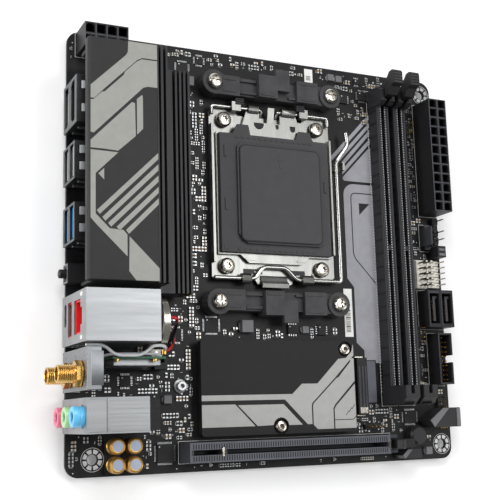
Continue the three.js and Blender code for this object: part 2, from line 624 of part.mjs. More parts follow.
// side +1 is the bracket next to the board's edge, side -1 its mirror below the socket.
function coolerBracket(side) {
  const y = CPU_Y + side * COOLER_HALF_Y;
  const span = (a, b) => (side > 0 ? [y + a, y + b] : [y - b, y - a]);
  const cx = COOLER_X;
  const screws = [-1, 1].map((s) => cx + s * COOLER_HALF_X);
  const pads = screws.map((x) => rod('z', SEAT, BRACKET_PAD_Z, x, y, BRACKET_PAD_R, 16));
  const bar = box(cx - 26, cx + 26, ...span(-4.4, 3.4), SEAT, 6.6);
  const arms = [
    box(cx - 26, cx - 15.6, ...span(-5.0, 3.4), SEAT, BRACKET_PAD_Z),
    box(cx + 19.6, cx + 26, ...span(-4.4, 4.0), SEAT, BRACKET_PAD_Z - 0.8),
  ];
  const centre = box(cx - 7.6, cx + 1.0, ...span(-4.6, 5.2), SEAT, 9.6);
  const hook = box(cx + 0.4, cx + 6.8, ...span(-1.0, 8.2), 4.2, 9.6);
  const hookCut = box(cx - 1, cx + 8, ...span(5.2, 9.0), 2, 7.4);
  const block = box(cx + 10.6, cx + 20.6, ...span(-4.6, 4.8), SEAT, 8.8);
  const bores = screws.map((x) => rod('z', 0, 12, x, y, 2.3, 12));
  return cut(join(bar, ...pads, ...arms, centre, cut(hook, hookCut), block), ...bores);
}

function bracketScrew(x, y) {
  const z = BRACKET_PAD_Z + 0.05;
  const rise = 2.3;
  const r = 3.1;
  const profile = [
    [0, -1.9], [1.8, -1.9], [1.8, z], [r, z], [r, z + 0.9], [r - 0.7, z + 1.8], [1.2, z + rise],
    [0, z + rise],
  ];
  const geometry = new THREE.LatheGeometry(profile.map(([a, b]) => new THREE.Vector2(a, b)), 14);
  geometry.rotateX(Math.PI / 2);
  geometry.translate(x, y, 0);
  const bodyOfScrew = solidOf(geometry);
  const slotA = box(x - 1.9, x + 1.9, y - 0.45, y + 0.45, z + 0.9, z + 4);
  const slotB = box(x - 0.45, x + 0.45, y - 1.9, y + 1.9, z + 0.9, z + 4);
  return cut(bodyOfScrew, slotA, slotB);
}

// ---------------------------------------------------------------- memory slots

// Long slot with a fixed tower at one end and a hollow tower for the latch at the other.
function memorySlot(x) {
  const h = MEMORY_W / 2;
  const body = box(x - h + 0.3, x + h - 0.3, -58, 72, SEAT, 8.2);
  const fixedTower = box(x - h, x + h, -61.7, -54, SEAT, 19.5);
  const latchTower = barAlongX([
    [68.2, SEAT], [76.6, SEAT], [76.6, 9.0], [74.6, 13.4], [69.6, 13.4], [68.2, 11.0],
  ], x - h, x + h);
  const groove = box(x - 0.85, x + 0.85, -57.4, 71, 3.4, 22);
  const pocket = box(x - 1.85, x + 1.85, 70.2, 80, 2.6, 16);
  const ledge = barAlongX([[-62, 20], [-62, 15.5], [-58.5, 20]], x - h - 1, x + h + 1);
  return cut(join(body, fixedTower, latchTower), groove, pocket, ledge);
}

// Latch that tilts outwards about MEMORY_PIVOT; its foot, stem and thumb tab are one piece.
function memoryLatch(x) {
  const { y, z } = MEMORY_PIVOT;
  const stem = barAlongX([
    [y - 2.2, z - 1.4], [y + 1.0, z - 1.4], [y + 2.2, z + 0.2], [y + 2.6, z + 3.4], [y + 3.0, z + 10.4],
    [y - 2.2, z + 10.4], [y - 2.7, z + 7.4],
  ], x - 1.55, x + 1.55);
  const thumb = barAlongX([
    [y - 2.6, z + 9.8], [y + 3.2, z + 9.8], [y + 7.2, z + 13.8], [y + 7.4, z + 16.2],
    [y + 6.4, z + 17.0], [y + 1.2, z + 17.0], [y + 0.4, z + 14.6], [y - 2.6, z + 12.2],
  ], x - 2.4, x + 2.4);
  return join(stem, thumb);
}

// ---------------------------------------------------------------- power and data connectors

// Upright power connector with one well for each contact.
function powerConnector({ x0, x1, y0, y1, top, well }, columns, rows) {
  const shell = box(x0, x1, y0, y1, SEAT, top);
  const wells = [];
  for (let i = 0; i < columns; i += 1) {
    for (let j = 0; j < rows; j += 1) {
      const x = x0 + ((i + 0.5) * (x1 - x0)) / columns;
      const y = y0 + ((j + 0.5) * (y1 - y0)) / rows;
      wells.push(box(x - well / 2, x + well / 2, y - well / 2, y + well / 2, top - 9.5, top + 1));
    }
  }
  return cut(shell, ...wells);
}

function atxConnector() {
  const x = ATX.x1;
  const clip = barAlongY([[x - 0.5, 8.6], [x + 0.9, 9.4], [x + 0.9, 10.6], [x - 0.5, 12.4]], 43, 51.6);
  return join(powerConnector(ATX, 2, 12), clip);
}

function epsConnector() {
  const y = EPS.y1;
  const clip = barAlongX([[y - 0.5, 9.0], [y + 0.4, 9.8], [y + 0.4, 11.2], [y - 0.5, 13.0]], -76.2, -69.2);
  return join(powerConnector(EPS, 4, 2), clip);
}

function graphicsSlot() {
  const { x0, x1, y, w, top } = PCIE;
  const body = box(x0, x1, y - w / 2, y + w / 2, SEAT, top);
  const key = x0 + 13.2;
  const grooves = [
    box(x0 + 1.6, key, y - 0.9, y + 0.9, 4, top + 1),
    box(key + 1.9, x1 - 1.2, y - 0.9, y + 0.9, 4, top + 1),
  ];
  const ears = [-1, 1].map((s) => box(
    x1 - 1, x1 + 6.2, y + (s > 0 ? 2.2 : -w / 2), y + (s > 0 ? w / 2 : -2.2), SEAT, 8.0,
  ));
  const floor = box(x1 - 1, x1 + 6.2, y - w / 2, y + w / 2, SEAT, 2.4);
  return cut(join(body, floor, ...ears), ...grooves);
}

// Hook that holds a graphics card's tail, with a thumb tab on its outer side.
function graphicsLatch() {
  const { x, z } = PCIE_PIVOT;
  const points = [
    [x - 2.2, z - 2.2], [x + 1.4, z - 2.4], [x + 2.6, z + 2.0], [x + 9.0, z + 4.0], [x + 9.6, z + 6.4],
    [x + 3.4, z + 5.4], [x + 1.6, z + 11.4], [x - 0.6, z + 12.6], [x - 2.4, z + 10.6], [x - 0.8, z + 9.4],
    [x - 0.8, z + 4.0], [x - 2.2, z + 1.6],
  ];
  return barAlongY(points, PCIE.y - 1.9, PCIE.y + 1.9);
}

function m2Heatsink() {
  const m = M2_PLATE;
  const plate = slab(roundedOutline(m.x0, m.x1, m.y0, m.y1, 1.2), m.z0, m.top, 3);
  const posts = M2_SCREWS.map(([x, y]) => rod('z', SEAT, m.z0 + 1, x, y, 2.9, 14));
  const wells = M2_SCREWS.map(([x, y]) => join(
    rod('z', 0, 12, x, y, 1.6, 12), rod('z', m.top - 1.1, 12, x, y, 3.2, 16),
  ));
  const underside = box(m.x0 + 3, m.x1 - 6, m.y0 + 6, m.y1 - 6, m.z0 - 1, m.z0 + 0.8);
  return cut(join(plate, ...posts), ...wells, underside);
}

function m2Screw([x, y]) {
  const z = M2_PLATE.top - 1.0;
  const head = rod('z', z, z + 1.5, x, y, 2.6, 14, 2.3);
  const shank = rod('z', SEAT + 0.3, z + 0.5, x, y, 1.2, 8);
  const recess = join(
    box(x - 1.3, x + 1.3, y - 0.3, y + 0.3, z + 0.8, z + 3),
    box(x - 0.3, x + 0.3, y - 1.3, y + 1.3, z + 0.8, z + 3),
  );
  return cut(join(head, shank), recess);
}

function m2Connector() {
  const body = box(36.6, 41.6, -65.4, -42.0, SEAT, 5.8);
  const slot = box(35, 39.2, -64.4, -43.0, 3.2, 4.4);
  return cut(body, slot);
}

// Two upright drive ports side by side, each with an L-shaped tongue.
function drivePorts() {
  const y0 = -29.0;
  const y1 = -12.8;
  const body = box(72.2, 85.4, y0, y1, SEAT, 9.0);
  const base = box(72.2, 85.9, y0 + 2, y1 - 2, SEAT, 5.0);
  const wells = [73.2, 79.6].map((x) => box(x, x + 4.9, y0 + 1.6, y1 - 1.6, 2.6, 10));
  const tongues = [73.2, 79.6].map((x) => join(
    box(x + 1.7, x + 2.9, y0 + 2.6, y1 - 3.2, 2.4, 8.4),
    box(x + 1.7, x + 4.0, y1 - 3.8, y1 - 2.6, 2.4, 8.4),
  ));
  return join(cut(join(body, base), ...wells), ...tongues);
}

function usbHeader() {
  const shell = box(75.9, 83.1, -53.6, -31.6, SEAT, 9.4);
  const well = box(76.8, 82.2, -52.7, -32.5, 2.6, 11);
  const key = box(81.5, 84, -44.2, -41.2, 3.6, 11);
  return cut(shell, well, key);
}

function pinHeader(x0, y0, columns, rows, pitch, baseTop, pinTop) {
  const base = box(x0, x0 + columns * pitch, y0, y0 + rows * pitch, SEAT, baseTop);
  const pins = [];
  for (let i = 0; i < columns; i += 1) {
    for (let j = 0; j < rows; j += 1) {
      const x = x0 + (i + 0.5) * pitch;
      const y = y0 + (j + 0.5) * pitch;
      pins.push(box(x - 0.32, x + 0.32, y - 0.32, y + 0.32, baseTop - 0.5, pinTop));
    }
  }
  return join(base, ...pins);
}

function fanHeader() {
  const wall = box(75.2, 76.2, 7.2, 15.4, SEAT, 9.6);
  return join(pinHeader(76.0, 5.8, 1, 4, 2.8, 4.4, 10.2), wall);
}

// ---------------------------------------------------------------- build

add('pcb', makeBoard(), FINISH.mask);
add('cooler_backplate', makeBackplate(), FINISH.darkSteel);
add('io_shroud', makeShroud(), FINISH.charcoal);
add('vrm_heatsink', makeRegulatorHeatsink(), FINISH.blackMetal);
add('eps_connector', epsConnector(), FINISH.blackPlastic);

add('display_port_stack', displayStack(), FINISH.shell);
add('usb2_stack', usbPair(29.2), FINISH.shell);
add('usb3_stack', usbPair(6.2), FINISH.shell);
add('flash_button_housing', buttonHousing(), FINISH.blackPlastic);
add('flash_button', flashButton(), FINISH.nickel);
add('lan_usb_stack', lanStack(), FINISH.shell);

add('wifi_bracket', antennaBracket(), FINISH.bracketGrey);
add('antenna_connector_lower', antennaConnector(ANTENNA.z[0]), FINISH.gold);
add('antenna_connector_upper', antennaConnector(ANTENNA.z[1]), FINISH.gold);
add('wifi_socket', wifiSocket(), FINISH.blackPlastic);
add('wifi_module', wifiModule(), FINISH.greenBoard);
add('antenna_lead', antennaLead(), FINISH.whiteCable);

add('audio_jack_block', audioBlock(), FINISH.blackPlastic);
add('audio_shield', audioShield(), FINISH.shell);
add('mic_jack', audioJack(AUDIO.jackZ[0]), FINISH.pink);
add('line_out_jack', audioJack(AUDIO.jackZ[1]), FINISH.green);
add('line_in_jack', audioJack(AUDIO.jackZ[2]), FINISH.blue);
[[-67.1, -74.2], [-60.4, -74.2], [-67.1, -80.9], [-60.4, -80.9]].forEach(([x, y], i) => {
  add(`audio_capacitor_${i + 1}`, capacitor(x, y), FINISH.gold);
});

add('coin_cell', coinCell(), FINISH.nickel);
add('battery_lead', batteryLead(), FINISH.redCable);

add('socket_housing', socketHousing(), FINISH.blackPlastic);
add('socket_frame', socketFrame(), FINISH.steel);
add('hinge_wire_left', hingeWire(-1), FINISH.steel);
add('hinge_wire_right', hingeWire(1), FINISH.steel);
add('load_plate', loadPlate(), FINISH.steel);
add('socket_cap', socketCap(), FINISH.blackPlastic);
add('load_lever', loadLever(), FINISH.steel);
socketScrews.forEach(([x, y], i) => add(`socket_screw_${i + 1}`, torxScrew(x, y), FINISH.nickel));

add('cooler_bracket_top', coolerBracket(1), FINISH.blackPlastic);
add('cooler_bracket_bottom', coolerBracket(-1), FINISH.blackPlastic);
coolerScrews.forEach(([x, y], i) => add(`bracket_screw_${i + 1}`, bracketScrew(x, y), FINISH.nickel));

MEMORY_X.forEach((x, i) => {
  add(`memory_slot_${i + 1}`, memorySlot(x), FINISH.blackPlastic);
  add(`memory_latch_${i + 1}`, memoryLatch(x), FINISH.blackPlastic);
});

add('atx_connector', atxConnector(), FINISH.blackPlastic);
add('pcie_slot', graphicsSlot(), FINISH.blackPlastic);
add('pcie_latch', graphicsLatch(), FINISH.blackPlastic);
add('m2_heatsink', m2Heatsink(), FINISH.blackMetal);
M2_SCREWS.forEach((place, i) => add(`m2_screw_${i + 1}`, m2Screw(place), FINISH.nickel));
add('m2_connector', m2Connector(), FINISH.blackPlastic);
add('sata_ports', drivePorts(), FINISH.blackPlastic);
add('usb3_header', usbHeader(), FINISH.blackPlastic);
add('front_panel_header', pinHeader(70.6, -11.6, 2, 5, 2.48, 4.1, 10.4), FINISH.header);
add('fan_header', fanHeader(), FINISH.blackPlastic);

// Move the origin to the middle of the box, at the bottom.
const bounds = new THREE.Box3().setFromObject(board);
board.position.set(-(bounds.min.x + bounds.max.x) / 2, -(bounds.min.y + bounds.max.y) / 2, -bounds.min.z);

export default assembly;
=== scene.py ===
import math
import random

import bmesh
import bpy
from mathutils import Matrix, Vector


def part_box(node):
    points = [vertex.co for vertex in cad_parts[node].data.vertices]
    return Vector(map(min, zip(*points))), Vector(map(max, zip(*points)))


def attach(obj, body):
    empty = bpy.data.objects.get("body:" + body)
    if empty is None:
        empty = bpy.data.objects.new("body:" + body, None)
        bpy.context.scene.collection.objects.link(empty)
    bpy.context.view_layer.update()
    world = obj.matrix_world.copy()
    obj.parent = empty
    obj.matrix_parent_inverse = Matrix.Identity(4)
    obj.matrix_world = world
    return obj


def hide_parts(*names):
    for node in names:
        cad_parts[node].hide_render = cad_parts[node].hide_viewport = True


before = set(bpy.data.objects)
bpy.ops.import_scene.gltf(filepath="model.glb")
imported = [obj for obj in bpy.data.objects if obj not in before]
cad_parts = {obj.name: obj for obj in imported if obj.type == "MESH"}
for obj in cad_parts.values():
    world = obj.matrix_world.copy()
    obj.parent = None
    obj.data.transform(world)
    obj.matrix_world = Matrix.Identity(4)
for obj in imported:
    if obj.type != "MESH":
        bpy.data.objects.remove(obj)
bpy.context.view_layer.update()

MM = 0.001
PCB_LO, PCB_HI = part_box("pcb")
ORIGIN = Vector(((PCB_LO.x + PCB_HI.x) / 2, (PCB_LO.y + PCB_HI.y) / 2, PCB_LO.z))
BOARD_TOP = (PCB_HI.z - PCB_LO.z) / MM
HALF = (PCB_HI.x - PCB_LO.x) / MM / 2
ROOT = "motherboard"


def extent(node):
    """Box of a CAD node as x0, x1, y0, y1, z0, z1 in board millimetres."""
    lo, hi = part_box(node)
    lo, hi = (lo - ORIGIN) / MM, (hi - ORIGIN) / MM
    return lo.x, hi.x, lo.y, hi.y, lo.z, hi.z


def middle(node):
    """Centre of a CAD node in board millimetres."""
    x0, x1, y0, y1, z0, z1 = extent(node)
    return (x0 + x1) / 2, (y0 + y1) / 2, (z0 + z1) / 2


# ------------------------------------------------------------------ materials

def linear(code):
    """Linear colour of a hexadecimal screen colour."""
    def channel(shift):
        c = ((code >> shift) & 255) / 255
        return c / 12.92 if c <= 0.04045 else ((c + 0.055) / 1.055) ** 2.4
    return channel(16), channel(8), channel(0)


def tinted(color, factor):
    """Colour made lighter or darker, with an alpha of 1."""
    return tuple(min(1.0, c * factor) for c in color) + (1.0,)


class Nodes:
    """Short names for building one material's node tree."""

    def __init__(self, name):
        self.material = bpy.data.materials.new(name)
        self.material.use_nodes = True
        self.tree = self.material.node_tree
        self.shader = self.tree.nodes["Principled BSDF"]

    def new(self, kind, **values):
        node = self.tree.nodes.new(kind)
        for key, value in values.items():
            setattr(node, key, value)
        return node

    def link(self, a, b):
        self.tree.links.new(a, b)

    def coordinates(self, stretch=(1, 1, 1)):
        """Object coordinates in metres, scaled by stretch."""
        place = self.new("ShaderNodeTexCoord")
        mapping = self.new("ShaderNodeMapping")
        mapping.inputs["Scale"].default_value = stretch
        self.link(place.outputs["Object"], mapping.inputs["Vector"])
        return mapping.outputs["Vector"]

    def noise(self, vector, scale, detail=3.0, rough=0.55):
        node = self.new("ShaderNodeTexNoise")
        node.inputs["Scale"].default_value = scale
        node.inputs["Detail"].default_value = detail
        node.inputs["Roughness"].default_value = rough
        self.link(vector, node.inputs["Vector"])
        return node.outputs["Fac"]

    def ramp(self, factor, low, high, a=0.35, b=0.65):
        """Colour that goes from low at a to high at b."""
        node = self.new("ShaderNodeValToRGB")
        node.color_ramp.elements[0].position = a
        node.color_ramp.elements[0].color = low
        node.color_ramp.elements[1].position = b
        node.color_ramp.elements[1].color = high
        self.link(factor, node.inputs["Fac"])
        return node.outputs["Color"]

    def span(self, factor, low, high):
        """Value between low and high."""
        node = self.new("ShaderNodeMapRange")
        node.inputs["To Min"].default_value = low
        node.inputs["To Max"].default_value = high
        self.link(factor, node.inputs["Value"])
        return node.outputs["Result"]

    def bump(self, height, strength, distance):
        node = self.new("ShaderNodeBump")
        node.inputs["Strength"].default_value = strength
        node.inputs["Distance"].default_value = distance
        self.link(height, node.inputs["Height"])
        self.link(node.outputs["Normal"], self.shader.inputs["Normal"])


def surface(name, code, rough, metal=0.0, vary=0.10, grain=900, bump=0.2, depth=0.00004,
            stretch=(1, 1, 1), rough_vary=0.10, **sockets):
    """A material with broad colour change, changing roughness and a fine grain in its bump."""
    n = Nodes(name)
    color = linear(code)
    vector = n.coordinates(stretch)
    broad = n.noise(vector, grain * 0.12, 4.0)
    fine = n.noise(vector, grain, 3.0)
    n.link(n.ramp(broad, tinted(color, 1 - vary), tinted(color, 1 + vary)), n.shader.inputs["Base Color"])
    n.link(n.span(fine, max(0.04, rough - rough_vary), min(1.0, rough + rough_vary)),
           n.shader.inputs["Roughness"])
    n.bump(fine, bump, depth)
    n.shader.inputs["Metallic"].default_value = metal
    for key, value in sockets.items():
        n.shader.inputs[key.replace("_", " ")].default_value = value
    return n.material


def solder_mask():
    """Black mask over copper: faint tracks and pours, and the weave of the laminate below."""
    n = Nodes("board_mask")
    vector = n.coordinates()
    pours = n.new("ShaderNodeTexVoronoi", feature="DISTANCE_TO_EDGE", distance="CHEBYCHEV")
    pours.inputs["Scale"].default_value = 150
    n.link(vector, pours.inputs["Vector"])
    edges = n.ramp(pours.outputs["Distance"], (0, 0, 0, 1), (1, 1, 1, 1), 0.02, 0.06)
    weave = n.new("ShaderNodeTexWave", wave_type="BANDS", bands_direction="DIAGONAL")
    weave.inputs["Scale"].default_value = 900
    n.link(vector, weave.inputs["Vector"])
    cloud = n.noise(vector, 120, 4.0)
    n.link(n.ramp(cloud, (0.0065, 0.0065, 0.0075, 1), (0.013, 0.013, 0.0145, 1)),
           n.shader.inputs["Base Color"])
    n.link(n.span(cloud, 0.36, 0.5), n.shader.inputs["Roughness"])
    n.shader.inputs["Specular IOR Level"].default_value = 0.22
    mix = n.new("ShaderNodeMixRGB", blend_type="MULTIPLY")
    mix.inputs["Fac"].default_value = 0.25
    n.link(edges, mix.inputs["Color1"])
    n.link(weave.outputs["Color"], mix.inputs["Color2"])
    n.bump(mix.outputs["Color"], 0.5, 0.00003)
    return n.material


def brushed(name, code, rough, stretch, vary=0.10, **sockets):
    """Metal with fine drawn lines; stretch is small along the lines."""
    return surface(name, code, rough, 1.0, vary, 1400, 0.12, 0.00002, stretch, 0.08, **sockets)


LOOK = {
    "mask": solder_mask(),
    "black": surface("black_nylon", 0x1B1B1D, 0.48, grain=1600, bump=0.35, Specular_IOR_Level=0.3),
    "satin_black": surface("satin_black", 0x262628, 0.40, grain=900, bump=0.15, Specular_IOR_Level=0.3),
    "cap": surface("cap_nylon", 0x3F3F41, 0.52, grain=1500, bump=0.3, vary=0.05, Specular_IOR_Level=0.3),
    "bracket": surface("bracket_nylon", 0x3C3C3E, 0.50, grain=1500, bump=0.35, vary=0.2,
                       Specular_IOR_Level=0.3),
    "pale_black": surface("contact_nylon", 0x35363B, 0.45, grain=1500, bump=0.2, Specular_IOR_Level=0.35),
    "slot_grey": surface("slot_nylon", 0x55575F, 0.42, grain=1500, bump=0.2),
    "charcoal": surface("charcoal_paint", 0x2D2D2E, 0.52, 0.1, 0.05, 2600, 0.3, 0.00003,
                        Specular_IOR_Level=0.25),
    "print": surface("silver_print", 0x959590, 0.50, 0.1, 0.04, 2600, 0.35, 0.00003),
    "pale_print": surface("pale_print", 0xA6A6A4, 0.50, 0.1, 0.04, 2600, 0.35, 0.00003),
    "anodised": surface("anodised_black", 0x29292B, 0.46, 0.3, 0.08, 900, 0.2, stretch=(1, 0.04, 1)),
    "plate": surface("heatsink_paint", 0x1F1F20, 0.52, 0.1, 0.06, 2600, 0.3, 0.00003,
                     Specular_IOR_Level=0.25),
    "steel": brushed("stamped_steel", 0x8C8C89, 0.33, (1, 0.08, 1)),
    "wire": brushed("drawn_wire", 0xB4B4B1, 0.24, (0.1, 0.1, 1)),
    "nickel": surface("nickel", 0xC2BDB3, 0.22, 1.0, 0.08, 1200, 0.1, 0.00002),
    "shell": brushed("tin_shell", 0x9FA1A3, 0.42, (0.05, 1, 1)),
    # Same tin as shell, made darker to paint the dark reflection seen on the stacked port shells.
    "painted_reflection_shell": brushed("tin_shell_painted_dark_reflection", 0x5C5D5F, 0.34, (0.05, 1, 1)),
    "dark_steel": surface("black_steel", 0x2B2B2E, 0.42, 0.6, 0.1, 1100, 0.25),
    "grey_steel": brushed("grey_steel", 0x8D9093, 0.42, (1, 1, 0.06)),
    "gold": surface("gold_plate", 0xDDB56A, 0.26, 1.0, 0.12, 900, 0.12, 0.00002),
    "gold_sleeve": surface("gold_sleeve", 0xC49A52, 0.34, 0.8, 0.10, 1200, 0.1),
    "can_top": surface("can_top", 0xA9B3C6, 0.45, 0.4, 0.06, 1200, 0.15),
    "pink": surface("pink_plastic", 0xE0708C, 0.34, grain=1300, Coat_Weight=0.3),
    "green": surface("green_plastic", 0xA5D59B, 0.34, grain=1300, Coat_Weight=0.3),
    "blue": surface("blue_plastic", 0x62B9E6, 0.34, grain=1300, Coat_Weight=0.3),
    "port_blue": surface("port_blue", 0x2FAEFF, 0.40, grain=1300, vary=0.05),
    "port_red": surface("port_red", 0xE21A22, 0.42, grain=1300, vary=0.06),
    "port_pale": surface("port_pale", 0xDEDDD6, 0.45, grain=1300),
    "white": surface("white_nylon", 0xE6E3DA, 0.50, grain=1300),
    "silk": surface("white_print", 0xD9D9D4, 0.60, grain=2600, bump=0.3),
    "grey_silk": surface("grey_print", 0x9A9AA0, 0.55, grain=2600, bump=0.3, vary=0.05),
    "lavender": surface("lavender_print", 0x63636F, 0.50, grain=2600, bump=0.3, vary=0.05),
    "label": surface("paper_label", 0xEDEDEA, 0.62, grain=2200, bump=0.25, vary=0.03),
    "ink": surface("label_ink", 0x3A3A3C, 0.60, grain=2200, bump=0.1),
    "solder": surface("solder", 0xB9BABB, 0.36, 1.0, 0.10, 1500, 0.2),
    "ceramic": surface("tan_ceramic", 0x8E7654, 0.45, grain=2200),
    "resistor": surface("resistor_black", 0x1B1B1E, 0.35, grain=2200),
    "epoxy": surface("chip_epoxy", 0x1E1E20, 0.55, grain=2400, bump=0.4, Specular_IOR_Level=0.3),
    "ferrite": surface("ferrite_grey", 0x6A6A6D, 0.52, grain=1800, bump=0.4),
    "card": surface("green_laminate", 0x1F5C3C, 0.42, grain=900),
    "red_wire": surface("red_insulation", 0xC71E28, 0.38, grain=1100),
    "black_wire": surface("black_insulation", 0x1A1A1C, 0.38, grain=1100),
    "grey_wire": surface("grey_insulation", 0xD9DBDD, 0.32, grain=1100),
    "pad": surface("thermal_pad", 0x8C94A6, 0.75, grain=700, bump=0.4),
}


# ------------------------------------------------------------------ mesh building

def rounded_route(points, bend, steps=5):
    """Corner points with each inner corner replaced by a short curve."""
    corners = [Vector(p) for p in points]
    route = [corners[0]]
    for before, at, after in zip(corners, corners[1:], corners[2:]):
        reach = min(bend, (at - before).length * 0.45, (after - at).length * 0.45)
        start = at + (before - at).normalized() * reach
        end = at + (after - at).normalized() * reach
        for i in range(steps + 1):
            t = i / steps
            route.append(start.lerp(at, t).lerp(at.lerp(end, t), t))
    route.append(corners[-1])
    return route


def soft_route(points, steps=6):
    """A smooth curve through every point."""
    p = [Vector(points[0])] + [Vector(q) for q in points] + [Vector(points[-1])]
    route = []
    for a, b, c, d in zip(p, p[1:], p[2:], p[3:]):
        for i in range(steps):
            t = i / steps
            route.append(0.5 * (2 * b + (c - a) * t + (2 * a - 5 * b + 4 * c - d) * t * t
                                + (3 * b - a - 3 * c + d) * t ** 3))
    route.append(Vector(points[-1]))
    return route


def arc(cx, cy, r, start, end, steps=6):
    """Points of an arc, from start to end in degrees."""
    angles = [math.radians(start + (end - start) * i / steps) for i in range(steps + 1)]
    return [(cx + r * math.cos(a), cy + r * math.sin(a)) for a in angles]


def circle(cx, cy, r, sides):
    """Points of a full circle."""
    angles = [2 * math.pi * k / sides for k in range(sides)]
    return [(cx + r * math.cos(a), cy + r * math.sin(a)) for a in angles]


def rounded_rect(x0, x1, y0, y1, r, steps=4):
    """Rectangle with rounded corners."""
    return (arc(x1 - r, y0 + r, r, -90, 0, steps) + arc(x1 - r, y1 - r, r, 0, 90, steps)
            + arc(x0 + r, y1 - r, r, 90, 180, steps) + arc(x0 + r, y0 + r, r, 180, 270, steps))


AXES = {
    "x": lambda a, b, h: (h, a, b),
    "y": lambda a, b, h: (a, h, b),
    "z": lambda a, b, h: (a, b, h),
}


class Mesh:
    """Gathers solids given in board millimetres; place() makes them one object of the scene."""

    def __init__(self, *looks):
        self.bm = bmesh.new()
        self.looks = looks

    def face(self, corners, look):
        """Adds a face, unless it is already there."""
        try:
            self.bm.faces.new(corners).material_index = look
        except ValueError:
            pass

    def loft(self, rings, look=0, closed=False):
        """Skin over rings of points; closed joins the last ring to the first instead of capping."""
        rows = [[self.bm.verts.new(Vector(p)) for p in ring] for ring in rings]
        pairs = list(zip(rows, rows[1:])) + ([(rows[-1], rows[0])] if closed else [])
        for low, high in pairs:
            for i in range(len(low)):
                j = (i + 1) % len(low)
                self.face([low[i], low[j], high[j], high[i]], look)
        if not closed:
            self.face(list(reversed(rows[0])), look)
            self.face(rows[-1], look)
        return rows

    def prism(self, outline, low, high, look=0, axis="z", taper=0.0):
        """Outline in the plane across axis, from low to high; taper pulls the far end inwards."""
        put = AXES[axis]
        mx = sum(p[0] for p in outline) / len(outline)
        my = sum(p[1] for p in outline) / len(outline)
        end = []
        for x, y in outline:
            reach = max(1e-6, math.hypot(x - mx, y - my))
            end.append((x + (mx - x) * taper / reach, y + (my - y) * taper / reach))
        self.loft([[put(a, b, low) for a, b in outline], [put(a, b, high) for a, b in end]], look)

    def box(self, x0, x1, y0, y1, z0, z1, look=0, taper=0.0):
        """Box between two corners, each pair of limits in either order."""
        (x0, x1), (y0, y1), (z0, z1) = sorted((x0, x1)), sorted((y0, y1)), sorted((z0, z1))
        self.prism([(x0, y0), (x1, y0), (x1, y1), (x0, y1)], z0, z1, look, "z", taper)

    def ring_plate(self, outer, inner, low, high, look=0, axis="z"):
        """Flat plate with one hole; both outlines have the same number of points."""
        put = AXES[axis]
        rings = [[put(a, b, h) for a, b in line] for line, h in
                 ((outer, low), (outer, high), (inner, high), (inner, low))]
        self.loft(rings, look, closed=True)

    def lathe(self, profile, centre, axis="z", sides=32, look=0):
        """Profile of (radius, height) turned about axis; it starts and ends on the axis."""
        put = AXES[axis]
        ca, cb = centre
        rings = []
        for r, h in profile:
            rings.append([put(a, b, h) for a, b in circle(ca, cb, r, sides)])
        rows = self.loft(rings, look)
        poles = [v for (r, h), row in zip(profile, rows) if r == 0 for v in row]
        bmesh.ops.remove_doubles(self.bm, verts=poles, dist=1e-5)

    def rod(self, r, low, high, centre, axis="z", sides=20, look=0):
        """Plain cylinder along axis."""
        self.lathe([(0, low), (r, low), (r, high), (0, high)], centre, axis, sides, look)

    def tube(self, route, radius, look=0, sides=12):
        """Round bar along a route of points, with rounded ends."""
        points = [Vector(p) for p in route]
        heading = (points[1] - points[0]).normalized()
        side = heading.orthogonal().normalized()
        rings = []
        for i, at in enumerate(points):
            ahead = points[min(i + 1, len(points) - 1)] - points[max(i - 1, 0)]
            turned = ahead.normalized()
            side = (side - turned * side.dot(turned)).normalized()
            up = turned.cross(side)
            ring = []
            for k in range(sides):
                t = 2 * math.pi * k / sides
                ring.append(at + side * (radius * math.cos(t)) + up * (radius * math.sin(t)))
            if i == 0:
                rings.append([at + (p - at) * 0.6 - turned * radius * 0.35 for p in ring])
            rings.append(ring)
            if i == len(points) - 1:
                rings.append([at + (p - at) * 0.6 + turned * radius * 0.35 for p in ring])
        self.loft(rings, look)

    def place(self, name, slot, body=ROOT, bevel=0.0, segments=2, replaces=(), angle=32):
        """Makes one object of what is gathered and rides it on body; slot is not used."""
        bmesh.ops.recalc_face_normals(self.bm, faces=self.bm.faces)
        to_row = Matrix.Translation(ORIGIN) @ Matrix.Scale(MM, 4)
        bmesh.ops.transform(self.bm, verts=self.bm.verts, matrix=to_row)
        data = bpy.data.meshes.new(name)
        self.bm.to_mesh(data)
        self.bm.free()
        for look in self.looks:
            data.materials.append(LOOK[look])
        piece = bpy.data.objects.new(name, data)
        bpy.context.scene.collection.objects.link(piece)
        data.shade_smooth()
        data.set_sharp_from_angle(angle=math.radians(angle))
        if bevel:
            soften(piece, bevel, segments)
        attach(piece, body)
        if replaces:
            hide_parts(*replaces)
        return piece


def soften(piece, width, segments=2):
    """Rounds a piece's hard edges; width in millimetres."""
    edge = piece.modifiers.new("edges", "BEVEL")
    edge.width = width * MM
    edge.segments = segments
    edge.limit_method = "ANGLE"
    edge.angle_limit = math.radians(35)
    edge.harden_normals = True


def dress(node, look, bevel=0.15, segments=2):
    """Gives a CAD node its material and rounded edges."""
    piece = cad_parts[node]
    piece.data.materials.clear()
    piece.data.materials.append(LOOK[look])
    weld = piece.modifiers.new("weld", "WELD")
    weld.merge_threshold = 0.003 * MM
    flat = piece.modifiers.new("flat", "DECIMATE")
    flat.decimate_type = "DISSOLVE"
    flat.angle_limit = math.radians(1)
    if bevel:
        soften(piece, bevel, segments)
    return piece


# ------------------------------------------------------------------ CAD nodes that stay

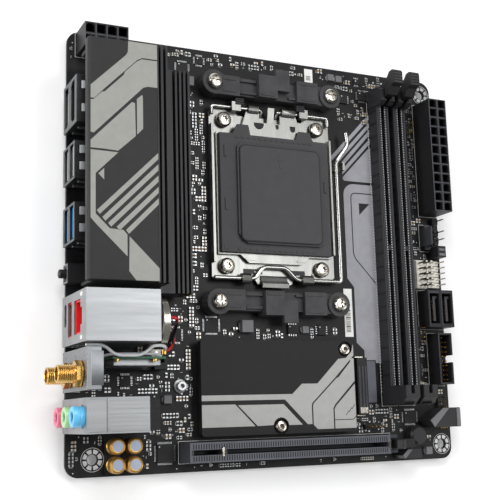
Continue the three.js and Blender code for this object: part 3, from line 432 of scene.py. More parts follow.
def dress_frame():
    """Looks and bevels of the CAD nodes that stay in the scene."""
    groups = (
        ("mask", 0.12, "pcb"),
        ("dark_steel", 0.25, "cooler_backplate"), ("dark_steel", 0.15, "flash_button"),
        ("charcoal", 0.45, "io_shroud"), ("anodised", 0.12, "vrm_heatsink"), ("plate", 0.3, "m2_heatsink"),
        ("black", 0.12, "eps_connector socket_housing atx_connector"),
        ("black", 0.15, "m2_connector sata_ports usb3_header"),
        ("black", 0.2, "flash_button_housing wifi_socket"), ("black", 0.25, "audio_jack_block"),
        ("black", 0.3, "memory_latch_1 memory_latch_2 pcie_latch"),
        ("satin_black", 0.2, "memory_slot_1 memory_slot_2"),
        ("pale_black", 0.2, "pcie_slot"), ("pale_black", 0.1, "fan_header"),
        ("white", 0.1, "front_panel_header"),
        # The display and USB stacks take the darker tin, which is a painted dark reflection.
        ("painted_reflection_shell", 0.25, "display_port_stack"), ("painted_reflection_shell", 0.3, "usb2_stack usb3_stack"),
        ("shell", 0.3, "lan_usb_stack"), ("shell", 0.25, "audio_shield"),
        ("grey_steel", 0.25, "wifi_bracket"),
        ("card", 0.1, "wifi_module"), ("steel", 0.15, "socket_frame"), ("steel", 0.2, "load_plate"),
        ("cap", 0.25, "socket_cap"), ("bracket", 0.35, "cooler_bracket_top cooler_bracket_bottom"),
    )
    for look, bevel, nodes in groups:
        for node in nodes.split():
            dress(node, look, bevel)


# ------------------------------------------------------------------ board surface

PRINT_Z = BOARD_TOP + 0.02       # top of the printing
PRINT_BASE = BOARD_TOP - 0.01    # its bottom, just inside the board
FOOT_Z = BOARD_TOP + 0.02        # bottom of a part that stands clear of the mask
MOUNT_HOLES = [(-74.93, -78.74), (-52.07, 78.74), (80.0, 78.74), (80.0, -78.74)]
CPU_X, CPU_Y = middle("socket_housing")[:2]


def stripe(mesh, a, b, width, z0, z1, look=0):
    """Straight printed line or track from a to b."""
    run = Vector((b[0] - a[0], b[1] - a[1]))
    side = Vector((-run.y, run.x)).normalized() * (width / 2)
    mesh.prism([(a[0] + side.x, a[1] + side.y), (a[0] - side.x, a[1] - side.y),
                (b[0] - side.x, b[1] - side.y), (b[0] + side.x, b[1] + side.y)], z0, z1, look)


def mount_pads():
    """Eight plated pads round each mounting hole, on both faces, inside a printed ring."""
    mesh = Mesh("solder", "silk")
    for x, y in MOUNT_HOLES:
        for z0, z1 in ((PRINT_BASE, BOARD_TOP + 0.06), (-0.06, 0.01)):
            for k in range(8):
                start = k * 45 + 6
                outer = arc(x, y, 3.7, start, start + 33, 5)
                inner = arc(x, y, 2.25, start + 33, start, 5)
                mesh.prism(outer + inner, z0, z1)
        ring = [arc(x, y, r, 0, 354, 59) for r in (4.35, 4.2)]
        mesh.ring_plate(ring[0], ring[1], BOARD_TOP, PRINT_Z + 0.02, 1)
    mesh.place("mounting_pads", "port_shell")


def panel_print():
    """Grey printed panels between the socket and the memory slots."""
    z0, z1 = PRINT_BASE, PRINT_Z + 0.02
    mesh = Mesh("grey_silk", "lavender", "mask")
    edge = extent("memory_slot_1")[0] + 0.2
    for left, low, high, thick in ((31.0, 45.2, 66.2, 2.3), (35.2, 45.5, 62.4, 2.1),
                                   (36.2, 43.0, 59.1, 2.2), (36.4, 39.7, 55.1, 2.2)):
        mesh.prism([(left, low - thick), (edge, high - thick), (edge, high), (left, low)], z0, z1)
    mesh.prism(arc(37.6, 35.9, 1.1, 140, 270) + [(edge, 34.8), (edge, 50.7), (50.4, 50.5)], z0, z1)
    mesh.prism(arc(41.5, 28.6, 5.0, 180, 90) + [(edge, 33.6), (edge, -44.0), (48.6, -44.0), (48.6, -42.8),
               (43.2, -42.8), (43.2, -38.6), (39.6, -35.4), (39.6, -11.8), (36.5, -8.0)], z0, z1)
    mesh.box(44.0, 48.2, -60.5, -43.2, z0, z1 + 0.01, 1)
    line = rounded_route([(edge, 29.6, 0), (40.1, 29.6, 0), (40.1, 1.6, 0), (51.0, -10.2, 0)], 2.5)
    for a, b in zip(line, line[1:]):
        stripe(mesh, a, b, 0.45, z1, z1 + 0.015, 2)
    mesh.prism([(44.0, 25.2), (49.4, 25.2), (44.0, 20.0)], z1, z1 + 0.015, 2)
    mesh.place("panel_print", "header_white")


def label(mesh, x0, x1, y0, y1):
    """Paper label with plain bars along it."""
    z = PRINT_Z
    mesh.box(x0, x1, y0, y1, PRINT_BASE, z + 0.08)
    rng = random.Random(7)
    at = y0 + 2.0
    while at < y0 + (y1 - y0) * 0.55:
        wide = rng.choice((0.2, 0.3, 0.5))
        mesh.box(x0 + 0.7, x1 - 1.1, at, at + wide, z + 0.08, z + 0.1, 1)
        at += wide + rng.choice((0.25, 0.4))


def labels():
    """Two paper labels, with no text on them."""
    mesh = Mesh("label", "ink")
    label(mesh, 34.2, 38.2, -33.0, -12.6)
    label(mesh, 19.5, 23.5, 76.5, 83.5)
    mesh.place("paper_labels", "header_white")


def footprint(node, grow=0.8):
    """Board area under a node, with a margin."""
    x0, x1, y0, y1 = extent(node)[:4]
    return x0 - grow, x1 + grow, y0 - grow, y1 + grow


FREE_OF = ["io_shroud", "vrm_heatsink", "eps_connector", "display_port_stack", "usb2_stack", "usb3_stack",
           "flash_button_housing", "lan_usb_stack", "wifi_bracket", "wifi_socket", "audio_jack_block",
           "audio_capacitor_1", "audio_capacitor_2", "audio_capacitor_3", "audio_capacitor_4", "coin_cell",
           "socket_frame", "cooler_bracket_top", "cooler_bracket_bottom", "memory_slot_1", "memory_slot_2",
           "atx_connector", "pcie_slot", "m2_heatsink", "m2_connector", "sata_ports", "usb3_header",
           "front_panel_header", "fan_header", "bracket_screw_1", "bracket_screw_2", "bracket_screw_3",
           "bracket_screw_4", "pcie_latch"]
TAKEN = [footprint(node) for node in FREE_OF]
TAKEN += [(x - 5, x + 5, y - 5, y + 5) for x, y in MOUNT_HOLES]
TAKEN += [(30.5, 53.0, -60.5, 61.0), (18.5, 24.5, 75.5, 84.5)]    # printed panels, paper label
SMALL_PART_COUNT = 1100
SMALL_PART_TRIES = 16000
MARK_TRIES = 4200
UNDERSIDE_TRIES = 900


def is_free(x0, x1, y0, y1):
    """True where nothing stands on the board yet."""
    if min(x0, y0) < -HALF + 0.8 or max(x1, y1) > HALF - 0.8:
        return False
    return all(x1 < a or x0 > b or y1 < c or y0 > d for a, b, c, d in TAKEN)


def leaded_chip(mesh, x, y, w, h, tall, pins, sides="xy", epoxy=0, metal=1, pale=2):
    """Flat package with gull-wing leads on the chosen sides and a moulded dot."""
    z = BOARD_TOP
    mesh.box(x - w / 2, x + w / 2, y - h / 2, y + h / 2, z + 0.12, z + tall, epoxy, 0.25)
    for side in sides:
        span = (h if side == "x" else w) * 0.84
        for i in range(pins):
            at = -span / 2 + span * (i + 0.5) / pins
            half = span / pins * 0.22
            for sign in (-1, 1):
                edge = (w if side == "x" else h) / 2
                near, far = sign * (edge - 0.1), sign * (edge + 0.75)
                if side == "x":
                    mesh.box(x + near, x + far, y + at - half, y + at + half, z, z + 0.3, metal)
                else:
                    mesh.box(x + at - half, x + at + half, y + near, y + far, z, z + 0.3, metal)
    mesh.rod(0.3, z + tall - 0.05, z + tall + 0.015, (x - w / 2 + 1.0, y + h / 2 - 1.0), "z", 12, pale)
    TAKEN.append((x - w / 2 - 1.4, x + w / 2 + 1.4, y - h / 2 - 1.4, y + h / 2 + 1.4))


def chips():
    """Control chips: place, size, height, leads on each side, and which sides have them."""
    mesh = Mesh("epoxy", "solder", "silk")
    for x, y, w, h, tall, pins, sides in (
            (-47.0, -77.6, 7.0, 7.0, 1.3, 12, "xy"), (64.0, -67.0, 6.4, 5.4, 1.0, 9, "xy"),
            (38.4, 71.8, 4.0, 4.4, 0.9, 5, "x"), (48.2, 74.2, 4.8, 4.4, 0.9, 6, "xy"),
            (68.9, -47.0, 5.0, 6.0, 1.2, 8, "x"), (-42.4, -33.0, 5.4, 5.4, 0.9, 8, "xy"),
            (-27.0, -29.0, 6.0, 6.0, 0.9, 10, "xy"), (9.0, -30.2, 5.0, 4.0, 1.1, 4, "y"),
            (22.6, -30.4, 4.0, 4.4, 1.0, 4, "x"), (-37.5, 76.0, 5.0, 5.0, 0.9, 8, "xy"),
            (-30.0, 80.2, 3.6, 3.6, 0.8, 5, "xy"), (69.8, 30.0, 2.6, 4.6, 0.9, 4, "x"),
            (70.6, -24.0, 0.9, 5.0, 0.8, 3, "x"), (-62.5, -50.5, 4.4, 4.4, 0.9, 6, "xy"),
            (62.6, -79.4, 3.0, 3.0, 0.9, 3, "x"), (45.5, 80.6, 3.0, 2.6, 0.9, 3, "y")):
        leaded_chip(mesh, x, y, w, h, tall, pins, sides)
    mesh.place("chips", "black_plastic", bevel=0.05, segments=1)


def chokes():
    """Moulded inductors with side terminals."""
    mesh = Mesh("ferrite", "solder")
    places = [(31.9, 80.6, 3.2), (35.9, 80.4, 3.2), (72.2, -81.3, 3.4), (-12.2, -29.4, 5.2),
              (-35.0, 70.4, 4.2), (14.6, -30.4, 3.2), (-46.0, -57.6, 3.4)]
    for x, y, size in places:
        h = size / 2
        mesh.box(x - h, x + h, y - h, y + h, BOARD_TOP + 0.1, BOARD_TOP + size * 0.55, 0, 0.25)
        for s in (-1, 1):
            mesh.box(x + s * h * 0.9, x + s * (h + 0.3), y - h * 0.55, y + h * 0.55, BOARD_TOP,
                     BOARD_TOP + 0.5, 1)
        TAKEN.append((x - h - 0.8, x + h + 0.8, y - h - 0.8, y + h + 0.8))
    mesh.place("chokes", "black_plastic", bevel=0.12)


def small_part(mesh, x, y, along_x, length, width, tall, look):
    """Chip resistor or capacitor: a body between two soldered end caps."""
    z = BOARD_TOP
    hl, hw, cap = length / 2, width / 2, length * 0.24

    def block(a0, a1, b0, b1, z0, z1, kind):
        if along_x:
            mesh.box(x + a0, x + a1, y + b0, y + b1, z0, z1, kind)
        else:
            mesh.box(x + b0, x + b1, y + a0, y + a1, z0, z1, kind)
    block(-hl + cap, hl - cap, -hw, hw, z, z + tall, look)
    block(-hl - 0.12, -hl + cap, -hw - 0.04, hw + 0.04, z, z + tall + 0.04, 0)
    block(hl - cap, hl + 0.12, -hw - 0.04, hw + 0.04, z, z + tall + 0.04, 0)


def small_parts():
    """Rows of small parts with printed ticks beside them, wherever the board is open."""
    rng = random.Random(41)
    parts = Mesh("solder", "resistor", "ceramic")
    ticks = Mesh("silk")
    placed = 0
    for _ in range(SMALL_PART_TRIES):
        if placed >= SMALL_PART_COUNT:
            break
        x, y = rng.uniform(-HALF, HALF), rng.uniform(-HALF, HALF)
        count, along_x = rng.choice((1, 2, 2, 3, 4, 5, 6)), rng.random() < 0.5
        length, width, tall = rng.choice(((1.0, 0.5, 0.35), (1.0, 0.5, 0.5), (1.6, 0.8, 0.8),
                                          (1.6, 0.8, 0.45)))
        pitch = width + 0.55
        run, deep = pitch * count, length + 0.7
        w, h = (deep, run) if along_x else (run, deep)
        if not is_free(x - w / 2, x + w / 2, y - h / 2, y + h / 2):
            continue
        TAKEN.append((x - w / 2, x + w / 2, y - h / 2, y + h / 2))
        look = 2 if tall in (0.5, 0.8) else 1
        for i in range(count):
            step = (i - (count - 1) / 2) * pitch
            px, py = (x, y + step) if along_x else (x + step, y)
            small_part(parts, px, py, along_x, length, width, tall, look)
            placed += 1
        for s in (-1, 1):
            if rng.random() < 0.75:
                if along_x:
                    ticks.box(x - w * 0.3, x + w * 0.3, y + s * (h / 2 + 0.05) - 0.07,
                              y + s * (h / 2 + 0.05) + 0.07,
                              PRINT_BASE, PRINT_Z)
                else:
                    ticks.box(x + s * (w / 2 + 0.05) - 0.07, x + s * (w / 2 + 0.05) + 0.07, y - h * 0.3,
                              y + h * 0.3,
                              PRINT_BASE, PRINT_Z)
    for _ in range(MARK_TRIES):
        x, y = rng.uniform(-HALF, HALF), rng.uniform(-HALF, HALF)
        if is_free(x - 0.7, x + 0.7, y - 0.7, y + 0.7):
            if rng.random() < 0.5:
                ticks.prism(arc(x, y, 0.22, 0, 315, 7), PRINT_BASE, PRINT_Z)
            else:
                wide, deep = rng.choice(((0.5, 0.07), (0.07, 0.5), (0.3, 0.3)))
                ticks.box(x - wide, x + wide, y - deep, y + deep, PRINT_BASE, PRINT_Z)
    parts.place("small_parts", "port_shell")
    ticks.place("board_print", "header_white")


def outlines():
    """Printed frames round the connectors and slots."""
    mesh = Mesh("silk")
    z0, z1 = PRINT_BASE, PRINT_Z + 0.01
    for node in ("memory_slot_1", "memory_slot_2", "atx_connector", "usb3_header", "sata_ports",
                 "front_panel_header", "fan_header", "pcie_slot", "eps_connector"):
        x0, x1, y0, y1 = footprint(node, 0.55)
        x0, x1 = max(x0, -HALF + 0.5), min(x1, HALF - 0.4)
        y0, y1 = max(y0, -HALF + 0.5), min(y1, HALF - 0.4)
        mesh.ring_plate([(x0, y0), (x1, y0), (x1, y1), (x0, y1)],
                        [(x0 + .15, y0 + .15), (x1 - .15, y0 + .15), (x1 - .15, y1 - .15),
                         (x0 + .15, y1 - .15)],
                        z0, z1)
    for node in ("memory_slot_1", "memory_slot_2"):
        x0, x1, y0, y1 = extent(node)[:4]
        for x in (x0 - 0.35, x1 + 0.35):
            for i in range(94):
                y = -56 + i * 1.32
                mesh.box(x - 0.16, x + 0.16, y - 0.22, y + 0.22, BOARD_TOP, BOARD_TOP + 0.12)
    mesh.place("connector_outlines", "header_white")


# ------------------------------------------------------------------ printed covers

def shroud_print():
    """Silver printed shapes on the cover, with the charcoal left bare between them."""
    x0, x1, y0, y1, _, top = extent("io_shroud")
    left, right, front, back = x0 + 0.9, x1 - 0.15, y0 + 0.2, y1 - 0.2
    z0, z1 = top - 0.02, top + 0.05
    shapes = [
        [(left, 48.6), (left, 53.4), (-70.6, 66.2), (-69.8, 67.6), (-69.6, back), (right, back),
         (right, 66.0), (-64.3, 66.0), (-66.2, 65.0), (-79.0, 52.2), (-82.4, 48.6)],
        [(left, 36.0), (left, 47.9), (-82.7, 48.1), (-79.6, 51.2), (-78.6, 51.4), (-71.4, 58.6),
         (-70.9, 59.9), (-66.5, 64.3), (-64.5, 65.5), (right, 65.5), (right, 55.2),
         (-62.4, 55.2), (-64.0, 54.6), (-82.6, 35.7)],
        [(left, 30.2), (left, 33.0), (-68.4, 48.6), (-67.2, 48.4), (-67.0, 36.0), (-73.6, 29.9),
         (-79.0, 30.2)],
        [(-66.5, 36.6), (-66.5, 50.0), (-64.5, 51.8), (-64.2, 51.0), (-64.2, 39.0)],
        [(left, 5.0), (left, 29.5), (-73.6, 29.3), (-81.9, 21.0), (-81.9, 6.5), (-76.8, 1.5), (-71.9, 1.2),
         (-70.4, -0.4), (-70.4, -8.2), (-81.5, 2.6)],
        [(-80.9, 21.0), (-78.8, 23.1), (-78.8, 18.9)],
        [(-69.6, -1.0), (right, -12.0), (right, front), (-67.2, front), (-69.8, -13.4)],
    ]
    low = [(-81.5, 7.7), (-79.5, 5.4), (-77.4, 3.4), (-74.3, 2.2), (-70.9, 1.2)]
    reach = [30.4, 26.2, 22.0, 17.8, 13.6]
    for (x, y), high in zip(low, reach):
        shapes.append([(x, y), (x + 1.1, y - 1.3), (right, high - 2.3), (right, high)])
    mesh = Mesh("print")
    for outline in shapes:
        mesh.prism(outline, z0, z1)
    mesh.place("shroud_print", "shroud_paint")


def heatsink_print():
    """Silver printed shapes on the flat heatsink, clear of its two screws."""
    x0, x1, _, _, _, top = extent("m2_heatsink")
    left, right = x0 + 0.1, x1 - 0.2
    z0, z1 = top - 0.02, top + 0.04
    shapes = [
        [(left, -56.5), (5.0, -56.5), (9.5, -52.5), (16.6, -52.5), (26.8, -42.6), (30.4, -42.2),
         (33.2, -39.6),
         (right, -36.4), (right, -41.2), (25.2, -50.0), (13.9, -60.2), (13.6, -61.5), (13.6, -68.5),
         (11.5, -68.5), (1.6, -58.6), (left, -58.6)],
        [(right, -42.4), (right, -51.6), (24.4, -61.0), (23.5, -62.6), (23.5, -70.6), (16.0, -70.6),
         (14.2, -68.8), (14.2, -61.6), (14.5, -60.4), (25.6, -50.4), (26.6, -50.0), (32.4, -43.8),
         (32.6, -42.4)],
        [(right, -52.8), (right, -65.8), (32.6, -67.0), (24.1, -67.0), (24.1, -62.8), (24.9, -61.5)],
        [(24.1, -67.3), (32.7, -67.3), (right, -66.2), (right, -70.6), (24.1, -70.6)],
        [(left, -60.1), (-20.0, -60.1), (-11.6, -68.6), (left, -68.6)],
        [(-18.9, -60.4), (1.0, -60.4), (9.2, -68.6), (3.1, -68.6)] + arc(-0.3, -69.0, 3.5, 10, 170, 8)
        + [(-10.6, -68.6)],
    ]
    mesh = Mesh("pale_print", "plate")
    for outline in shapes:
        mesh.prism(outline, z0, z1)
    for i in range(3):
        stripe(mesh, (29.4 + i * 1.4, -65.4 + i * 1.2), (30.8 + i * 1.4, -63.6 + i * 1.2), 0.25, z1,
               z1 + 0.02, 1)
    mesh.place("heatsink_print", "shroud_paint")


def heatsink_pads():
    """Regulator chips under the low heatsink, and the pads that press on them."""
    mesh = Mesh("epoxy", "pad", "solder")
    base = 6.4
    for i in range(8):
        y = -12 + i * 9.6
        mesh.box(-51.6, -45.4, y, y + 6.2, BOARD_TOP + 0.05, 2.6, 0, 0.15)
        for k in range(5):
            mesh.box(-45.4, -44.9, y + 0.5 + k * 1.1, y + 1.0 + k * 1.1, BOARD_TOP, 2.0, 2)
    mesh.box(-52.4, -44.4, -14.0, 64.0, 2.62, base - 0.04, 1)
    mesh.place("regulator_chips", "black_plastic", bevel=0.08, segments=1)


# ------------------------------------------------------------------ rear ports

def contacts(mesh, y, z, spread, count, x0, x1, look, side=1):
    """Row of flat contacts along a tongue."""
    for i in range(count):
        at = y - spread / 2 + spread * i / (count - 1)
        mesh.box(x0, x1, at - 0.42, at + 0.42, z, z + side * 0.14, look)


def type_a_tongues(name, slot, node, look):
    """Coloured tongues of a stacked pair, each with a chamfered nose and its four contacts."""
    x0, _, y0, y1 = extent(node)[:4]
    mid = (y0 + y1) / 2
    mesh = Mesh(look, "gold", "black")
    for z in (3.4, 11.2):
        mesh.prism([(x0 + 0.5, z + 2.8), (x0 + 0.9, z + 2.6), (x0 + 10.9, z + 2.6), (x0 + 10.9, z + 4.8),
                    (x0 + 0.9, z + 4.8), (x0 + 0.5, z + 4.6)], mid - 5.5, mid + 5.5, 0, "y")
        mesh.box(x0 + 10.2, x0 + 10.9, mid - 6.2, mid + 6.2, z + 0.05, z + 5.05, 2)
        contacts(mesh, mid, z + 2.6, 7.0, 4, x0 + 1.8, x0 + 9.0, 1, -1)
    mesh.place(name, slot, bevel=0.08, segments=1)


def display_tongues():
    """Tongues and linings of the two display connectors."""
    x0, _, y0, y1 = extent("display_port_stack")[:4]
    mesh = Mesh("port_pale", "gold", "black")
    mesh.box(x0 + 0.8, x0 + 9.9, y0 + 3.4, y1 - 2.9, 5.3, 6.7, 0, 0.1)
    mesh.box(x0 + 0.8, x0 + 9.9, y0 + 3.8, y1 - 3.3, 14.8, 16.2, 2, 0.1)
    mesh.box(x0 + 9.2, x0 + 9.9, y0 + 1.8, y1 - 1.3, 3.5, 8.5, 0)
    mesh.box(x0 + 9.2, x0 + 9.9, y0 + 1.8, y1 - 1.3, 12.5, 17.5, 2)
    for z in (5.3, 14.8):
        contacts(mesh, (y0 + y1) / 2, z, 10.4, 10, x0 + 1.4, x0 + 8.6, 1, -1)
    mesh.place("display_tongues", "black_plastic", bevel=0.06, segments=1)


def network_inside():
    """Red moulding of the network jack, its contacts and lamps, and both connectors below it."""
    x0 = extent("lan_usb_stack")[0]
    mesh = Mesh("port_red", "gold", "port_pale", "black")
    mesh.box(x0 + 12.0, x0 + 12.9, -34.9, -23.1, 18.5, 26.7, 0)
    mesh.box(x0 + 0.6, x0 + 12.0, -34.95, -34.3, 18.5, 26.7, 0)
    mesh.box(x0 + 0.6, x0 + 12.0, -23.7, -23.05, 18.5, 26.7, 0)
    mesh.box(x0 + 0.6, x0 + 12.0, -34.2, -23.8, 18.45, 18.9, 0)
    for i in range(8):
        y = -33.0 + i * 1.15
        mesh.prism([(x0 + 2.0, 26.6), (x0 + 2.3, 26.75), (x0 + 10.0, 24.0), (x0 + 10.0, 23.7)], y, y + 0.5,
                   1, "y")
    for y in (-37.2, -22.3):
        mesh.box(x0 - 0.06, x0 + 0.3, y + 0.1, y + 1.5, 26.6, 29.2, 2)
    mesh.prism([(x0 + 0.8, 12.9), (x0 + 1.3, 12.6), (x0 + 12.9, 12.6), (x0 + 12.9, 14.5), (x0 + 1.3, 14.5),
                (x0 + 0.8, 14.2)], -34.3, -23.7, 0, "y")
    mesh.box(x0 + 12.0, x0 + 12.9, -35.1, -22.9, 9.85, 14.95, 0)
    mesh.box(x0 + 0.5, x0 + 12.0, -35.15, -34.75, 9.85, 14.95, 0)
    mesh.box(x0 + 0.5, x0 + 12.0, -23.25, -22.85, 9.85, 14.95, 0)
    contacts(mesh, -29.0, 12.6, 7.0, 4, x0 + 1.8, x0 + 9.5, 1, -1)
    mesh.box(x0 + 0.9, x0 + 5.9, -30.1, -23.9, 5.7, 6.5, 3)
    for z, s in ((5.7, -1), (6.5, 1)):
        contacts(mesh, -27.0, z, 4.6, 6, x0 + 1.2, x0 + 4.4, 1, s)
    mesh.place("network_inside", "red_wire", bevel=0.05, segments=1)


def shell_springs():
    """Bent spring fingers in black windows of painted shade on the shells, and the seams between shell
    halves.
    """
    mesh = Mesh("shell", "black")
    for node, places in (("display_port_stack", (46.6, 55.4)), ("usb2_stack", (25.4, 31.6)),
                         ("usb3_stack", (2.4, 8.6)), ("lan_usb_stack", (-35.0, -26.6))):
        x0, x1, y0, y1, _, top = extent(node)
        for y in places if node != "lan_usb_stack" else ():
            wide = 3.0
            # Black window round each top finger: painted shade of the opening.
            mesh.box(x0 + 1.6, x0 + 8.0, y - 0.25, y + wide + 0.25, top - 0.02, top + 0.03, 1)
            mesh.prism([(x0 + 1.9, top + 0.02), (x0 + 4.2, top + 0.55), (x0 + 5.6, top + 0.5),
                        (x0 + 7.8, top + 0.04), (x0 + 7.8, top), (x0 + 1.9, top)], y, y + wide, 0, "y")
        for x in (x0 + 9.6, x1 - 3.2) if node != "lan_usb_stack" else ():
            mesh.box(x, x + 0.15, y0 + 0.2, y1 - 0.2, top - 0.02, top + 0.03, 1)
        for y, s in ((y0, -1), (y1, 1)):
            for z in (5.0, 12.6):
                # Black window behind each side spring: painted shade of the opening.
                mesh.box(x0 + 2.0, x0 + 8.0, y - s * 0.02, y + s * 0.03, z, z + 2.2, 1)
                mesh.box(x0 + 2.4, x0 + 7.6, y, y + s * 0.32, z + 0.3, z + 1.9, 0, 0.15)
    mesh.place("shell_springs", "port_shell", bevel=0.06, segments=1)


def button_trim():
    """Metal rim round the small rear button."""
    x0, _, y0, y1, _, top = extent("flash_button_housing")
    mesh = Mesh("shell")
    mesh.ring_plate([(y0 + 0.2, 2.0), (y1 - 0.2, 2.0), (y1 - 0.2, top - 0.3), (y0 + 0.2, top - 0.3)],
                    [(y0 + 0.7, 2.5), (y1 - 0.7, 2.5), (y1 - 0.7, top - 0.8), (y0 + 0.7, top - 0.8)],
                    x0 - 0.12, x0 + 0.02, 0, "x")
    mesh.place("button_trim", "port_shell", bevel=0.04, segments=1)


def antenna_connector(node, name):
    """Threaded gold barrel with a hexagon nut and washer, hollow with a pin in its middle."""
    x0, x1, y0, y1, z0, z1 = extent(node)
    y, z = (y0 + y1) / 2, (z0 + z1) / 2
    face = extent("wifi_bracket")[0]
    r, pitch = 3.1, 0.72
    mesh = Mesh("gold", "port_pale")
    profile = [(0, x0 + 5.6), (2.35, x0 + 5.6), (2.35, x0 + 0.15), (2.5, x0), (r - 0.35, x0)]
    at = x0 + 0.3
    while at < face - 3.0:
        profile += [(r, at), (r, at + 0.16), (r - 0.36, at + 0.38), (r - 0.36, at + 0.46)]
        at += pitch
    profile += [(r - 0.3, face - 2.6), (r - 0.3, x1 - 0.2), (r - 0.6, x1), (0, x1)]
    mesh.lathe(profile, (y, z), "x", 36)
    mesh.prism(circle(y, z, 4.6, 6), face - 2.4, face - 0.6, 0, "x")
    mesh.rod(4.5, face - 0.6, face - 0.3, (y, z), "x", 36)
    mesh.lathe([(0, face + 1.3), (4.2, face + 1.3), (4.2, face + 3.2), (3.4, face + 3.6), (0, face + 3.6)],
               (y, z), "x", 36)
    mesh.lathe([(0, x0 + 5.5), (2.3, x0 + 5.5), (2.3, x0 + 3.4), (1.3, x0 + 3.4), (1.3, x0 + 5.2),
                (0, x0 + 5.2)],
               (y, z), "x", 28, 1)
    mesh.lathe([(0, x0 + 5.7), (0.55, x0 + 5.7), (0.55, x0 + 1.6), (0.3, x0 + 1.2), (0, x0 + 1.2)], (y, z),
               "x", 20)
    mesh.place(name, "gold_plate", bevel=0.06, replaces=(node,), angle=28)


def audio_jack(node, name, look, slot):
    """Coloured sleeve with a rounded lip, a dark bore and a contact spring inside."""
    x0, x1, y0, y1, z0, z1 = extent(node)
    y, z = (y0 + y1) / 2, (z0 + z1) / 2
    r = 3.6
    mesh = Mesh(look, "nickel", "black")
    mesh.lathe([(0, x0 + 10.6), (1.8, x0 + 10.6), (1.8, x0 + 0.5), (2.1, x0 + 0.1), (2.5, x0), (3.0, x0),
                (3.4, x0 + 0.15), (r, x0 + 0.5), (r, x0 + 2.2), (r - 0.12, x0 + 2.3), (r - 0.12, x0 + 2.6),
                (r, x0 + 2.7), (r, x1), (0, x1)], (y, z), "x", 44)
    mesh.lathe([(0, x0 + 10.5), (1.77, x0 + 10.5), (1.77, x0 + 0.9), (1.6, x0 + 0.9), (1.6, x0 + 9.8),
                (0, x0 + 9.8)], (y, z), "x", 24, 2)
    mesh.prism([(x0 + 3.0, z + 1.75), (x0 + 5.0, z + 1.2), (x0 + 9.6, z + 1.5), (x0 + 9.6, z + 1.75)],
               y - 0.5, y + 0.5, 1, "y")
    mesh.place(name, slot, replaces=(node,))


def audio_cover_ribs():
    """Pressed ribs along the metal cover, its folded side tabs and the terminals behind it."""
    x0, x1, y0, y1, _, top = extent("audio_shield")
    mesh = Mesh("shell", "black", "solder")
    mesh.box(x0 + 0.9, x0 + 6.6, y0 + 0.5, y1 - 0.5, top - 0.05, top + 0.12, 0, 0.2)
    for y in (y0 + 0.6, (y0 + y1) / 2 + 0.25):
        wide = (y1 - y0) / 2 - 0.85
        mesh.box(x0 + 7.4, x1 - 0.3, y, y + wide, top - 0.05, top + 0.2, 0, 0.12)
        for i in range(4):
            at = y + 0.5 + i * (wide - 1.0) / 3
            mesh.box(x0 + 7.8, x1 - 0.5, at - 0.14, at + 0.14, top + 0.18, top + 0.32, 0, 0.05)
    mesh.box(x0 + 6.9, x0 + 7.1, y0 + 0.3, y1 - 0.3, top - 0.02, top + 0.03, 1)
    for y, s in ((y0, -1), (y1, 1)):
        mesh.box(x0 + 0.2, x0 + 9.0, y, y - s * 0.5, top - 9.0, top - 0.6, 0)
    back = extent("audio_jack_block")[1]
    for i in range(5):
        y = y0 + 1.6 + i * 2.2
        mesh.box(back - 6.0, back - 0.4, y, y + 0.9, 20.4, 20.7, 1)
        mesh.box(back - 0.05, back + 0.35, y, y + 0.5, BOARD_TOP, 12.0, 2)
    mesh.place("audio_cover_ribs", "port_shell", bevel=0.08, segments=1)


def bracket_details():
    """Spot-weld dimples and folded tabs of the antenna bracket."""
    x0, x1, y0, y1, _, top = extent("wifi_bracket")
    mesh = Mesh("grey_steel")
    for y in (y0 + 2.4, y1 - 2.4):
        for z in (6.2, 19.5, 31.0):
            mesh.lathe([(0, x0 - 0.18), (0.5, x0 - 0.18), (0.85, x0), (0.85, x0 + 0.05), (0, x0 + 0.05)],
                       (y, z), "x", 20)
    mesh.box(x0 + 1.4, x1 - 0.6, y0 + 1.5, y1 - 1.5, top - 0.02, top + 0.12, 0, 0.3)
    mesh.place("bracket_details", "bracket_grey", bevel=0.05, segments=1)


def audio_capacitors():
    """Gold-sleeved cans with a crimped waist, a grey top and a black foot."""
    for i in range(1, 5):
        node = f"audio_capacitor_{i}"
        x, y, _ = middle(node)
        top = extent(node)[5]
        mesh = Mesh("gold_sleeve", "can_top", "black")
        mesh.prism([(x - 3.3, y - 3.3), (x + 2.3, y - 3.3), (x + 3.3, y - 2.3), (x + 3.3, y + 2.3),
                    (x + 2.3, y + 3.3), (x - 3.3, y + 3.3)], FOOT_Z, BOARD_TOP + 0.85, 2)
        mesh.lathe([(0, 2.3), (2.95, 2.3), (3.02, 2.7), (3.02, 3.2), (2.72, 3.5), (2.72, 3.7), (3.02, 4.0),
                    (3.02, top - 0.8), (2.85, top - 0.35), (2.3, top), (2.0, top - 0.03), (0, top - 0.04)],
                   (x, y), "z", 44)
        mesh.lathe([(0, top - 0.06), (2.0, top - 0.06), (1.98, top + 0.02), (0, top + 0.03)], (x, y), "z",
                   44, 1)
        mesh.place(f"capacitor_can_{i}", "capacitor_gold", replaces=(node,), bevel=0.05, angle=40)


# ------------------------------------------------------------------ battery and leads

